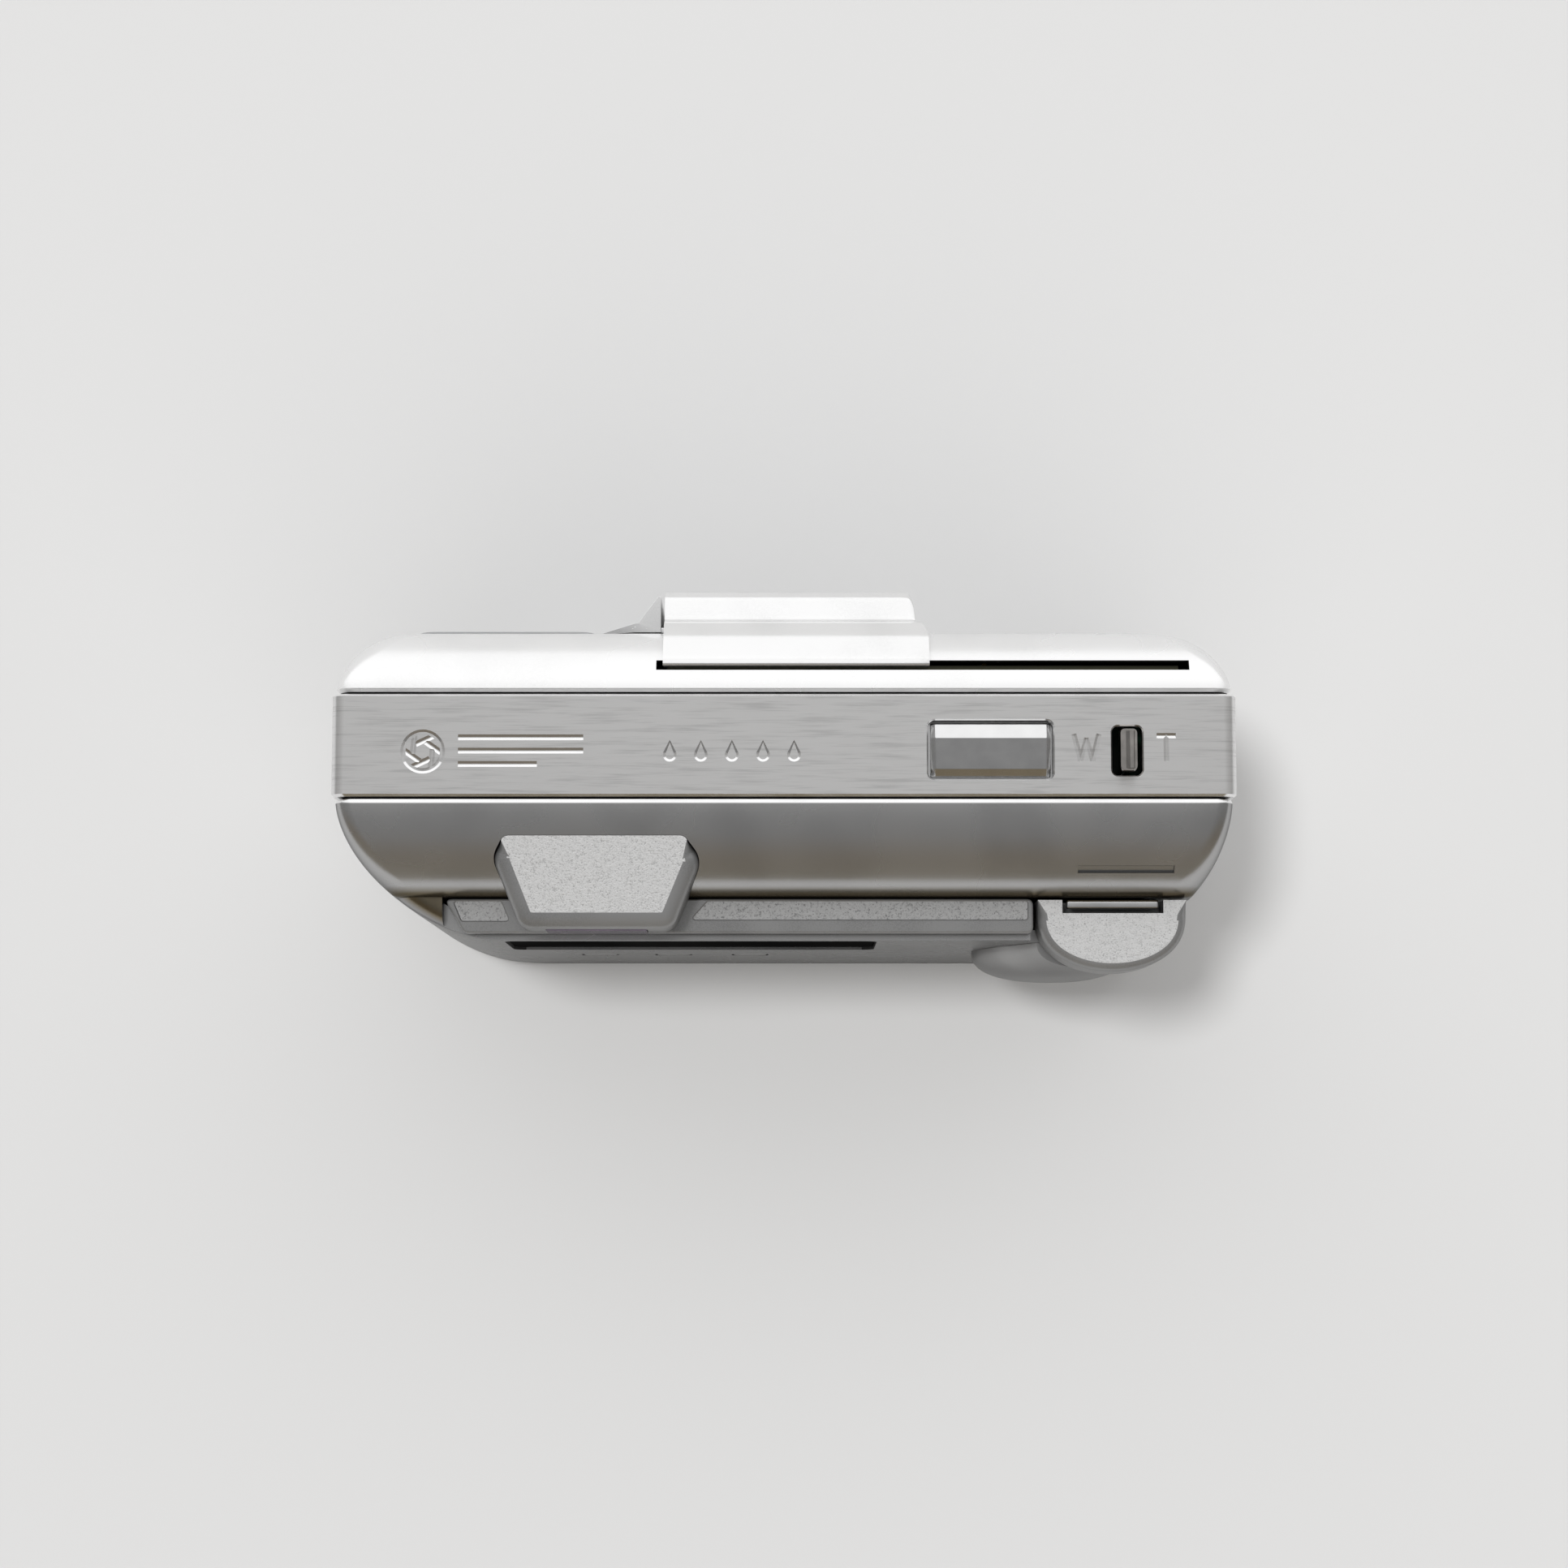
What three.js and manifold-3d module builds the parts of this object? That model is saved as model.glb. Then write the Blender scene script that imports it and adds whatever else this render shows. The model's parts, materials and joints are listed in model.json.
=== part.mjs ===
// Compact all-weather 35 mm zoom camera with a sliding lens cover, built as separate pieces.
// Millimetres. +Z up, the front (lens side) faces -Y, the user's right hand holds the -X end.
// The origin is at the bottom centre of the camera, on the surface that it stands on.
import * as THREE from "three";
import { mergeVertices } from "three/addons/utils/BufferGeometryUtils.js";
import Module from "manifold-3d";

const wasm = await Module();
wasm.setup();

// ---------- Driving dimensions ----------
const WIDTH = 108;
const HEIGHT = 59;
const BELT_FRONT = -9.45;
const BELT_REAR = 2.85;
const FACE_Y = -17.95; // flat front face of the front shell
const COVER_Y = -23.22; // front of the lens cover's bulge
const STRIP_Y = 14.25; // where the top shoulder of the rear shell meets the eyepiece housing
const BACK_Y = 18.87; // back face: film door and eyepiece housing
const GRIP_Y = 23.22; // back of the strap housing
const GAP = 0.3; // between pieces that touch
const WALL = 1;
const BELT_WALL = 1.2;
const SHELL_DROP = 0.3; // shells lie this far below the belt's top
const LENS = { x: -1.4, z: 26.6 };
const FAR = 60; // beyond the body on every side, for cuts that run right through

// ---------- Helpers: outlines, lofts and cuts ----------
const solidOf = (geometry) => {
  const bare = new THREE.BufferGeometry();
  bare.setAttribute("position", geometry.getAttribute("position"));
  if (geometry.index) bare.setIndex(geometry.index);
  const merged = mergeVertices(bare, 1e-4);
  const made = new wasm.Manifold(
    new wasm.Mesh({
      numProp: 3,
      vertProperties: new Float32Array(merged.attributes.position.array),
      triVerts: new Uint32Array(merged.index.array),
    }),
  );
  return made;
};

const geometryOf = (solid) => {
  const mesh = solid.getMesh();
  const geometry = new THREE.BufferGeometry();
  geometry.setAttribute("position", new THREE.BufferAttribute(mesh.vertProperties, 3));
  geometry.setIndex(new THREE.BufferAttribute(mesh.triVerts, 1));
  geometry.computeVertexNormals();
  return geometry;
};

// A box from its lowest and highest corners.
const box = (x0, x1, y0, y1, z0, z1) => {
  const geometry = new THREE.BoxGeometry(x1 - x0, y1 - y0, z1 - z0);
  return solidOf(geometry.translate((x0 + x1) / 2, (y0 + y1) / 2, (z0 + z1) / 2));
};

// A cylinder along an axis, from a to b on that axis; (u, v) are the other two coordinates in X, Y, Z order.
const rod = (axis, radius, a, b, u, v, sides = 16) => {
  const geometry = new THREE.CylinderGeometry(radius, radius, b - a, sides);
  const mid = (a + b) / 2;
  if (axis === "x") geometry.rotateZ(-Math.PI / 2).translate(mid, u, v);
  if (axis === "y") geometry.translate(u, mid, v);
  if (axis === "z") geometry.rotateX(Math.PI / 2).translate(u, v, mid);
  return solidOf(geometry);
};

// Extrudes an outline of [x, y] points upwards from z0 to z1.
const prismZ = (points, z0, z1) => {
  const shape = new THREE.Shape(points.map(([x, y]) => new THREE.Vector2(x, y)));
  const geometry = new THREE.ExtrudeGeometry(shape, { depth: z1 - z0, bevelEnabled: false });
  return solidOf(geometry.translate(0, 0, z0));
};

// Extrudes an outline of [x, z] points backwards from y0 to y1.
const prismY = (points, y0, y1) => {
  const shape = new THREE.Shape(points.map(([x, z]) => new THREE.Vector2(x, z)));
  const geometry = new THREE.ExtrudeGeometry(shape, { depth: y1 - y0, bevelEnabled: false });
  return solidOf(geometry.rotateX(Math.PI / 2).translate(0, y1, 0));
};

// A solid from points and triangles that all face the same way, turned to face outwards.
const outwardSolid = (points, index) => {
  const geometry = new THREE.BufferGeometry();
  geometry.setAttribute("position", new THREE.Float32BufferAttribute(points.flat(), 3));
  geometry.setIndex(index);
  const made = solidOf(geometry);
  if (made.volume() > 0) return made;
  for (let i = 0; i < index.length; i += 3) {
    [index[i + 1], index[i + 2]] = [index[i + 2], index[i + 1]];
  }
  geometry.setIndex(index);
  return solidOf(geometry);
};

// A solid through a row of rings with the same number of points, each ring convex and flat.
const loft = (rings) => {
  const count = rings[0].length;
  const index = [];
  for (let r = 0; r + 1 < rings.length; r++) {
    for (let i = 0; i < count; i++) {
      const j = (i + 1) % count;
      const [a, b] = [r * count + i, r * count + j];
      const [c, d] = [a + count, b + count];
      index.push(a, b, d, a, d, c);
    }
  }
  const last = (rings.length - 1) * count;
  for (let i = 1; i + 1 < count; i++) {
    index.push(0, i + 1, i);
    index.push(last, last + i, last + i + 1);
  }
  return outwardSolid(rings.flat(), index);
};

// A solid between two outlines in parallel planes across X, which may be concave.
const sliceLoft = (ringA, ringB) => {
  const flat = (ring) => ring.map(([, y, z]) => new THREE.Vector2(y, z));
  const faces = THREE.ShapeUtils.triangulateShape(flat(ringA), []);
  const count = ringA.length;
  const index = [];
  for (const [a, b, c] of faces) {
    index.push(a, c, b);
    index.push(count + a, count + b, count + c);
  }
  for (let i = 0; i < count; i++) {
    const j = (i + 1) % count;
    index.push(i, j, count + j, i, count + j, count + i);
  }
  return outwardSolid([...ringA, ...ringB], index);
};

// The [u, v] points of a rectangle with round corners.
const roundedRect = (u0, u1, v0, v1, radius, steps = 3) => {
  const corners = [
    [u1 - radius, v1 - radius, 0],
    [u0 + radius, v1 - radius, 90],
    [u0 + radius, v0 + radius, 180],
    [u1 - radius, v0 + radius, 270],
  ];
  return corners.flatMap(([cu, cv, start]) =>
    Array.from({ length: steps + 1 }, (_, i) => {
      const angle = THREE.MathUtils.degToRad(start + (90 * i) / steps);
      return [cu + radius * Math.cos(angle), cv + radius * Math.sin(angle)];
    }),
  );
};

// How far a superellipse quarter has drawn in at a share u of its depth.
const drawIn = (u, amount, power) =>
  amount * (1 - Math.pow(Math.max(0, 1 - Math.pow(Math.min(1, u), power)), 1 / power));

const root = new THREE.Group();
const add = (name, solid, colour, roughness = 0.5, metalness = 0) => {
  const material = new THREE.MeshStandardMaterial({ color: colour, roughness, metalness });
  const mesh = new THREE.Mesh(geometryOf(solid), material);
  mesh.name = name;
  root.add(mesh);
};

const SILVER = "#b9babb";
const STEEL = "#a9aaab";
const TEXTURED = "#b4b4b2";
const BLACK = "#1b1b1c";
const CHROME = "#d4d5d6";
const GLASS = "#5f6f78";

// ---------- Body shells ----------
const SHELL_X = WIDTH / 2 - 0.4;
const SHELL_TOP = HEIGHT - SHELL_DROP;
const FRONT_START = BELT_FRONT - GAP;
const REAR_START = BELT_REAR + GAP;
const frontDepth = FRONT_START - FACE_Y;
const rearDepth = BACK_Y - REAR_START;
const shoulderDepth = STRIP_Y - REAR_START;

const FRONT_SIDE = { amount: 6.6, power: 1.6 };
const FRONT_TOP = { amount: 8, power: 1.8 };
const FRONT_BOTTOM = { amount: 4, power: 3 };
const REAR_LEFT = { amount: 19, power: 1.75 };
const REAR_RIGHT = { amount: 13, power: 1.8 };
const REAR_TOP = { amount: 7.7, power: 2 };
const REAR_BOTTOM = { amount: 1.6, power: 4 };
const CORNER = 2;

const frontRing = (share, inset, y) => {
  const side = drawIn(share, FRONT_SIDE.amount, FRONT_SIDE.power) + inset;
  const top = drawIn(share, FRONT_TOP.amount, FRONT_TOP.power) + inset;
  const bottom = drawIn(share, FRONT_BOTTOM.amount, FRONT_BOTTOM.power) + inset;
  const x = SHELL_X - side;
  return roundedRect(-x, x, bottom, SHELL_TOP - top, CORNER).map(([u, v]) => [u, y, v]);
};

const RING_SHARES = [0, 0.3, 0.55, 0.75, 0.9, 0.98, 1];
const frontOuter = loft(RING_SHARES.map((s) => frontRing(s, 0, FRONT_START - s * frontDepth)));
const frontInner = loft(
  [-0.1, ...RING_SHARES.slice(1)].map((s) =>
    frontRing(Math.max(0, s), WALL, FRONT_START - s * (frontDepth - WALL)),
  ),
);

const rearRing = (share, inset, y) => {
  const left = SHELL_X - drawIn(share, REAR_LEFT.amount, REAR_LEFT.power) - inset;
  const right = SHELL_X - drawIn(share, REAR_RIGHT.amount, REAR_RIGHT.power) - inset;
  const shoulder = (share * rearDepth) / shoulderDepth;
  const top = SHELL_TOP - drawIn(Math.min(shoulder, 0.995), REAR_TOP.amount, REAR_TOP.power) - inset;
  const bottom = drawIn(share, REAR_BOTTOM.amount, REAR_BOTTOM.power) + inset;
  return roundedRect(-right, left, bottom, top, CORNER).map(([u, v]) => [u, y, v]);
};
const REAR_SHARES = [0, 0.2, 0.38, 0.52, 0.62, 0.69, 0.71, 0.8, 0.9, 0.96, 1];
const rearOuter = loft(REAR_SHARES.map((s) => rearRing(s, 0, REAR_START + s * rearDepth)));
// The hollow is the same shape one wall further in, so the wall stays whole at the steep foot of the shoulder.
const rearHollow = (wall) =>
  loft(
    [-0.1, ...REAR_SHARES.slice(1)].map((s) => {
      const y = REAR_START + s * (rearDepth - wall);
      const share = Math.min(1, Math.max(0, (y + wall - REAR_START) / rearDepth));
      return rearRing(s < 0 ? 0 : share, wall, y);
    }),
  );
const rearInner = rearHollow(WALL);

// Openings shared by the shells and the belt
const BATTERY = { x: -43.7, y: -8, radius: 7.8 };
const BATTERY_DOOR = { x0: -51.6, x1: -36.1, y0: -15.6, y1: 0.6, thick: 1.2, hingeGap: 0.8 };
const BATTERY_CUT_TOP = 4;
const batteryCut = box(
  BATTERY_DOOR.x0 - GAP,
  BATTERY_DOOR.x1 + BATTERY_DOOR.hingeGap,
  BATTERY_DOOR.y0 - GAP,
  BATTERY_DOOR.y1 + GAP,
  -1,
  0.1 + BATTERY_DOOR.thick + GAP,
)
  .add(
    box(
      BATTERY.x + 5,
      BATTERY_DOOR.x1 + BATTERY_DOOR.hingeGap,
      BATTERY_DOOR.y0 - GAP,
      BATTERY_DOOR.y1 + GAP,
      -1,
      BATTERY_CUT_TOP,
    ),
  )
  .add(rod("z", BATTERY.radius + GAP, 1, BATTERY_CUT_TOP, BATTERY.x, BATTERY.y, 24));
const COVER_SLOT = { x0: -48.5, x1: 15.3, y0: -13.7, y1: -12.45 };
const BOTTOM_SLOT_Z = [5.7, 7];
const FLASH = { x0: 22.9, x1: 45, z0: 40.7, z1: 49.3 };
const WINDOW_BAND = { x0: -12.4, x1: 11, z0: 43.6, z1: 49.4 };

const frontShell = frontOuter
  .subtract(frontInner)
  .subtract(rod("y", 14, FACE_Y - 2, FACE_Y + 3, LENS.x, LENS.z, 32))
  .subtract(box(FLASH.x0 - GAP, FLASH.x1 + GAP, FACE_Y - 2, FACE_Y + 3, FLASH.z0 - GAP, FLASH.z1 + GAP))
  .subtract(
    box(WINDOW_BAND.x0, WINDOW_BAND.x1, FACE_Y - 2, FACE_Y + 3, WINDOW_BAND.z0, WINDOW_BAND.z1),
  )
  .subtract(box(COVER_SLOT.x0, COVER_SLOT.x1, COVER_SLOT.y0, COVER_SLOT.y1, 54, HEIGHT))
  .subtract(box(COVER_SLOT.x0, COVER_SLOT.x1, FACE_Y - 2, FACE_Y + 3, ...BOTTOM_SLOT_Z))
  .subtract(batteryCut);
add("front_shell", frontShell, SILVER, 0.32, 0.85);

// Belt: one brushed steel band round the top, both ends and the base
const SHUTTER = { x0: -32.05, x1: -17.15, y0: -6.25, y1: 0.8 };
const ZOOM = { x: -40.85, half: 1.8, y0: -5.55, y1: 0.35 };
const TRIPOD = { x: 3, y: -3.3, radius: 4.6 };
const SIDE_CAP = { y: -2.75, z: 41, radius: 1.7 };
const SCREWS = { base_screw_left: 14, base_screw_right: -21 };
const SCREW_Y = -3.3;
const beltOuter = roundedRect(-WIDTH / 2, WIDTH / 2, 0, HEIGHT, 1.6);
const beltInner = roundedRect(
  -WIDTH / 2 + BELT_WALL,
  WIDTH / 2 - BELT_WALL,
  BELT_WALL,
  HEIGHT - BELT_WALL,
  0.8,
);
let belt = prismY(beltOuter, BELT_FRONT, BELT_REAR)
  .subtract(prismY(beltInner, BELT_FRONT - 1, BELT_REAR + 1))
  .subtract(box(SHUTTER.x0, SHUTTER.x1, SHUTTER.y0, SHUTTER.y1, HEIGHT - 3, HEIGHT + 1))
  .subtract(box(ZOOM.x - ZOOM.half, ZOOM.x + ZOOM.half, ZOOM.y0, ZOOM.y1, HEIGHT - 3, HEIGHT + 1))
  .subtract(rod("z", TRIPOD.radius + GAP, -1, 3, TRIPOD.x, TRIPOD.y, 24))
  .subtract(rod("x", SIDE_CAP.radius + GAP, -WIDTH / 2 - 1, -WIDTH / 2 + 3, SIDE_CAP.y, SIDE_CAP.z))
  .subtract(batteryCut);
for (const x of Object.values(SCREWS)) {
  belt = belt.subtract(rod("z", 1.3 + GAP, -1, 3, x, SCREW_Y));
}
add("belt_frame", belt, STEEL, 0.35, 0.9);
add(
  "side_cap",
  rod("x", SIDE_CAP.radius, -WIDTH / 2 - 0.25, -WIDTH / 2 + 2, SIDE_CAP.y, SIDE_CAP.z),
  SILVER,
  0.4,
  0.6,
);

// ---------- Back of the body ----------
const DOOR = { z0: 2.7, z1: 48.6, low: 44.6, notch: -29.9, wrap: 10.8, wall: 1.5 };
const HINGE = { x: -46, y: 16.8, knuckle: 2.5, pin: 0.8 };
const STRIP_TOP = 51;
const HUMP_TOP = 58.1;
const STRAP = { x0: -48.6, x1: -30.65, y0: STRIP_Y + 0.35 };
const LATCH = { x0: 50.6, x1: 52.9, y0: 4.9, y1: 9.3, z0: 19, z1: 30, travel: 4 };
// The wall beside the door's hinge turns in behind the knuckle.
const hingeLip = box(-49.6, -44, 12.7, 13.9, 1.4, DOOR.low);

const rearShell = rearOuter
  .subtract(rearInner)
  .subtract(box(-FAR, 41.4, STRIP_Y, BACK_Y + 3, DOOR.z1, HEIGHT))
  .subtract(box(-FAR, DOOR.notch, STRIP_Y, BACK_Y + 3, DOOR.low - GAP, HEIGHT))
  .subtract(box(-FAR, FAR, STRIP_Y, BACK_Y + 3, DOOR.z0 - GAP, DOOR.z1 + GAP))
  .subtract(box(30, FAR, DOOR.wrap - GAP, BACK_Y + 3, DOOR.z0 - GAP, DOOR.z1 + GAP))
  .subtract(box(11.8, 32.4, 7.4, STRIP_Y + 2, 50, HEIGHT + 1))
  .add(hingeLip.intersect(rearOuter))
  .add(rod("z", 2.6, 0.6, DOOR.z0 - GAP, HINGE.x, HINGE.y).intersect(box(-FAR, 0, 0, 30, 0, 30)))
  .subtract(rod("z", HINGE.pin + GAP, 1.3, 8, HINGE.x, HINGE.y))
  .subtract(
    box(
      LATCH.x0 - 3,
      LATCH.x1 + 3,
      LATCH.y0 - GAP,
      LATCH.y1 + GAP,
      LATCH.z0 - GAP,
      LATCH.z1 + LATCH.travel + GAP,
    ),
  );
add("rear_shell", rearShell, SILVER, 0.38, 0.8);
add(
  "film_door_latch",
  box(LATCH.x0, LATCH.x1, LATCH.y0, LATCH.y1, LATCH.z0, LATCH.z1),
  STEEL,
  0.4,
  0.7,
);

// Eyepiece housing: a low strip across the back with the viewfinder hump on it
const humpOutline = [
  [32.2, 7.8],
  [34.3, 9.3],
  [34.3, 11.2],
  [31.4, 18],
  [30.4, BACK_Y],
  [13.4, BACK_Y],
  [12.2, 17.6],
  [10, 11.6],
  [10.1, 9.6],
  [12.4, 7.8],
];
const stripOutline = [
  [41.2, STRIP_Y + GAP],
  [38.6, BACK_Y],
  [-30.1, BACK_Y],
  [-30.1, STRIP_Y + GAP],
];
const HUMP_BASE = 50.2;
const scaledHump = (z, grow) => {
  const [cx, cy] = [22.2, 13.5];
  return humpOutline.map(([x, y]) => [
    cx + (x - cx) * grow,
    Math.min(BACK_Y, cy + (y - cy) * grow),
    z,
  ]);
};
const humpSolid = loft([
  scaledHump(HUMP_BASE, 1),
  scaledHump(HUMP_TOP - 2, 1),
  scaledHump(HUMP_TOP - 0.6, 0.955),
  scaledHump(HUMP_TOP, 0.88),
]);
const EYEPIECE = { x0: 16.4, x1: 28.4, z0: 50.4, z1: 55.8 };
const VIEW_TUBE = { x0: 15.2, x1: 26.8, z0: 51.1, z1: 55.6 };
// Clear of the shell: the hump's skirt starts where the shoulder has been cut away.
const shellKeepOut = rearOuter.intersect(box(-FAR, FAR, 3, STRIP_Y, 0, 60));
const eyepieceHousing = humpSolid
  .subtract(shellKeepOut.subtract(box(12.1, 32.1, 7.7, STRIP_Y + 2, 50, HEIGHT + 1)))
  .add(prismZ(stripOutline, DOOR.z1 + GAP, STRIP_TOP))
  .subtract(box(EYEPIECE.x0 - GAP, EYEPIECE.x1 + GAP, 17.2, BACK_Y + 1, EYEPIECE.z0 - GAP, EYEPIECE.z1 + GAP))
  .subtract(box(VIEW_TUBE.x0 - GAP, VIEW_TUBE.x1 + GAP, 5, 17.5, 44, VIEW_TUBE.z1 + GAP));
const housingPieces = eyepieceHousing.decompose().sort((a, b) => b.volume() - a.volume());
add("eyepiece_housing", housingPieces[0], TEXTURED, 0.65, 0.3);
add(
  "eyepiece_lens",
  box(EYEPIECE.x0, EYEPIECE.x1, 17.7, BACK_Y - 0.25, EYEPIECE.z0, EYEPIECE.z1),
  GLASS,
  0.05,
);

// Strap housing: half-round block in line with the strip, with a bar for the strap
const STRAP_MID = (STRAP.x0 + STRAP.x1) / 2;
const STRAP_HALF = (STRAP.x1 - STRAP.x0) / 2;
const strapArc = Array.from({ length: 13 }, (_, i) => {
  const angle = (Math.PI * i) / 12;
  const out = Math.pow(Math.sin(angle), 0.85);
  return [STRAP_MID - STRAP_HALF * Math.cos(angle), STRAP.y0 + 1.6 + (GRIP_Y - STRAP.y0 - 1.6) * out];
});
const strapOutline = [[STRAP.x0, STRAP.y0], ...strapArc, [STRAP.x1, STRAP.y0]];
const STRAP_SLOT = { x0: -45.7, x1: -33.6, y1: 16.5, z0: 46.4 };
const BAR = { y: 15.2, z: 50.2, radius: 0.55 };
const strapHousing = prismZ(strapOutline, DOOR.low + GAP, STRIP_TOP + 0.2)
  .subtract(box(STRAP_SLOT.x0, STRAP_SLOT.x1, 10, STRAP_SLOT.y1, STRAP_SLOT.z0, 60))
  .subtract(rod("x", BAR.radius + 0.2, STRAP_SLOT.x0 - 1.5, STRAP_SLOT.x1 + 1.5, BAR.y, BAR.z, 12))
  .subtract(rod("z", HINGE.pin + GAP, DOOR.low - 1, DOOR.low + 1.5, HINGE.x, HINGE.y));
add("strap_housing", strapHousing, TEXTURED, 0.65, 0.3);
add(
  "strap_bar",
  rod("x", BAR.radius, STRAP_SLOT.x0 - 1.2, STRAP_SLOT.x1 + 1.2, BAR.y, BAR.z, 12),
  CHROME,
  0.15,
  1,
);

// ---------- Film door, hinged at the hand end ----------
const LCD = { x0: -11.2, x1: 34, z0: 30.6, z1: 46.6, depth: 1 };
const PANEL_INNER = BACK_Y - DOOR.wall;
const MODE_BUTTONS = { xs: [23.8, 14.3, 4.4], z: 20.5, width: 4.4, height: 3, out: 0.45 };
const modeBox = (x, grow) =>
  box(
    x - MODE_BUTTONS.width / 2 - grow,
    x + MODE_BUTTONS.width / 2 + grow,
    PANEL_INNER - 1,
    BACK_Y + 2,
    MODE_BUTTONS.z - MODE_BUTTONS.height / 2 - grow,
    MODE_BUTTONS.z + MODE_BUTTONS.height / 2 + grow,
  );
// The door is the shell's own skin behind the body, and wraps round its far end.
const DOOR_WRAP_X = 36; // from here on the door wraps round the body's end
const doorRegion = box(-44, DOOR.notch, STRIP_Y, BACK_Y + 1, DOOR.z0, DOOR.low)
  .add(box(DOOR.notch, FAR, STRIP_Y + 0.3, BACK_Y + 1, DOOR.z0, DOOR.z1))
  .add(box(DOOR_WRAP_X, FAR, DOOR.wrap, BACK_Y + 1, DOOR.z0, DOOR.z1));
let door = rearOuter
  .add(box(-44.4, 0, PANEL_INNER, BACK_Y, DOOR.z0, DOOR.z1))
  .subtract(rearHollow(DOOR.wall))
  .intersect(doorRegion)
  .add(rod("z", HINGE.knuckle, DOOR.z0, DOOR.low, HINGE.x, HINGE.y))
  .add(box(46.9, 48.1, 7.6, 12.5, 21, 28))
  .subtract(rod("z", HINGE.pin + GAP, 0, 50, HINGE.x, HINGE.y, 12))
  .subtract(
    box(LCD.x0 - GAP, LCD.x1 + GAP, BACK_Y - LCD.depth, BACK_Y + 1, LCD.z0 - GAP, LCD.z1 + GAP),
  );
for (const x of MODE_BUTTONS.xs) door = door.subtract(modeBox(x, GAP));
add("film_door", door, SILVER, 0.4, 0.75);
add(
  "hinge_pin",
  rod("z", HINGE.pin, 1.6, DOOR.low + 1.2, HINGE.x, HINGE.y, 12),
  CHROME,
  0.2,
  1,
);
add(
  "display_window",
  box(LCD.x0, LCD.x1, BACK_Y - LCD.depth + GAP, BACK_Y + 0.1, LCD.z0, LCD.z1),
  BLACK,
  0.08,
);
MODE_BUTTONS.xs.forEach((x, i) => {
  const button = modeBox(x, 0).intersect(
    box(-FAR, FAR, PANEL_INNER + 0.6, BACK_Y + MODE_BUTTONS.out, 0, 60),
  );
  add(`mode_button_${i + 1}`, button, STEEL, 0.35, 0.7);
});

// Thumb rest: a lobe that swells and moves inwards below the strap housing
const lobe = (z, left, right, back) =>
  Array.from({ length: 11 }, (_, i) => {
    const angle = (Math.PI * i) / 10;
    const x = (left + right) / 2 + ((left - right) / 2) * Math.cos(angle);
    return [x, BACK_Y + GAP + (back - BACK_Y - GAP) * Math.sin(angle), z];
  });
const thumbRest = loft([
  lobe(6.5, -31, -42, 20.2),
  lobe(12, -27.5, -43.5, 21.7),
  lobe(20, -24.6, -44, 22.9),
  lobe(28, -24.4, -44, 23.05),
  lobe(35, -27, -44, 23),
  lobe(40, -30, -44, 22.7),
  lobe(44.2, -32.5, -44, 22.3),
]);
add("thumb_rest", thumbRest, SILVER, 0.4, 0.6);

// Pressure plate on a leaf spring inside the door
add("pressure_plate", box(-20, 17, 14.25, 15.15, 12, 43), BLACK, 0.45, 0.3);
const leafSpring = box(-16, 13, 16.6, 16.9, 25.5, 29.5)
  .add(box(-4, 1, 15.9, 16.9, 25.5, 29.5));
add("pressure_spring", leafSpring, CHROME, 0.3, 1);
add(
  "cassette_window_seal",
  box(27, 33, 15.4, PANEL_INNER - GAP, 14, 26),
  "#141414",
  0.95,
);

// ---------- Film path ----------
const CASSETTE = { x: 33.5, y: 2.2, inner: 13.1, outer: 13.9, z0: 1.6, z1: 50.8 };
const SPOOL = { x: -30.5, y: 4, radius: 6.3, inner: 8.7, outer: 9.5, z0: 4.2, z1: 47 };
const PLATE = 0.8;
const openBack = (y) => box(-FAR, FAR, y, 40, -1, 70);

const cassetteChamber = rod("z", CASSETTE.outer, CASSETTE.z0, CASSETTE.z1, CASSETTE.x, CASSETTE.y, 28)
  .subtract(
    rod("z", CASSETTE.inner, CASSETTE.z0 + PLATE, CASSETTE.z1 - PLATE, CASSETTE.x, CASSETTE.y, 28),
  )
  .subtract(openBack(9))
  .subtract(rod("z", 1.6, CASSETTE.z1 - 2, CASSETTE.z1 + 1, CASSETTE.x, CASSETTE.y, 12))
  .subtract(box(-FAR, FAR, 7, 40, CASSETTE.z1 - PLATE - 0.1, CASSETTE.z1 + 1));
add("cassette_chamber", cassetteChamber, BLACK, 0.7);

const GATE = { x0: -21.3, x1: 19.2, y0: 11.6, y1: 13.4, z0: 4.6, z1: 50, wide: 36, high: 24 };
const GUIDE_RAIL = { high: 1, proud: 0.45, z: [12.8, 43.2] };
const guideRail = (z) =>
  box(GATE.x0, GATE.x1, GATE.y1 - 0.1, GATE.y1 + GUIDE_RAIL.proud, z, z + GUIDE_RAIL.high);
const filmGate = box(GATE.x0, GATE.x1, GATE.y0, GATE.y1, GATE.z0, GATE.z1)
  .add(guideRail(GUIDE_RAIL.z[0]))
  .add(guideRail(GUIDE_RAIL.z[1]))
  .subtract(
    box(
      LENS.x - GATE.wide / 2,
      LENS.x + GATE.wide / 2,
      GATE.y0 - 1,
      GATE.y1 + 1,
      LENS.z - GATE.high / 2,
      LENS.z + GATE.high / 2,
    ),
  );
add("film_gate", filmGate, "#222223", 0.5, 0.2);

const takeUpChamber = rod("z", SPOOL.outer, SPOOL.z0, SPOOL.z1, SPOOL.x, SPOOL.y, 24)
  .subtract(rod("z", SPOOL.inner, SPOOL.z0 + PLATE, FAR, SPOOL.x, SPOOL.y, 24))
  .subtract(openBack(8));
add("take_up_chamber", takeUpChamber, BLACK, 0.7);

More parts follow.
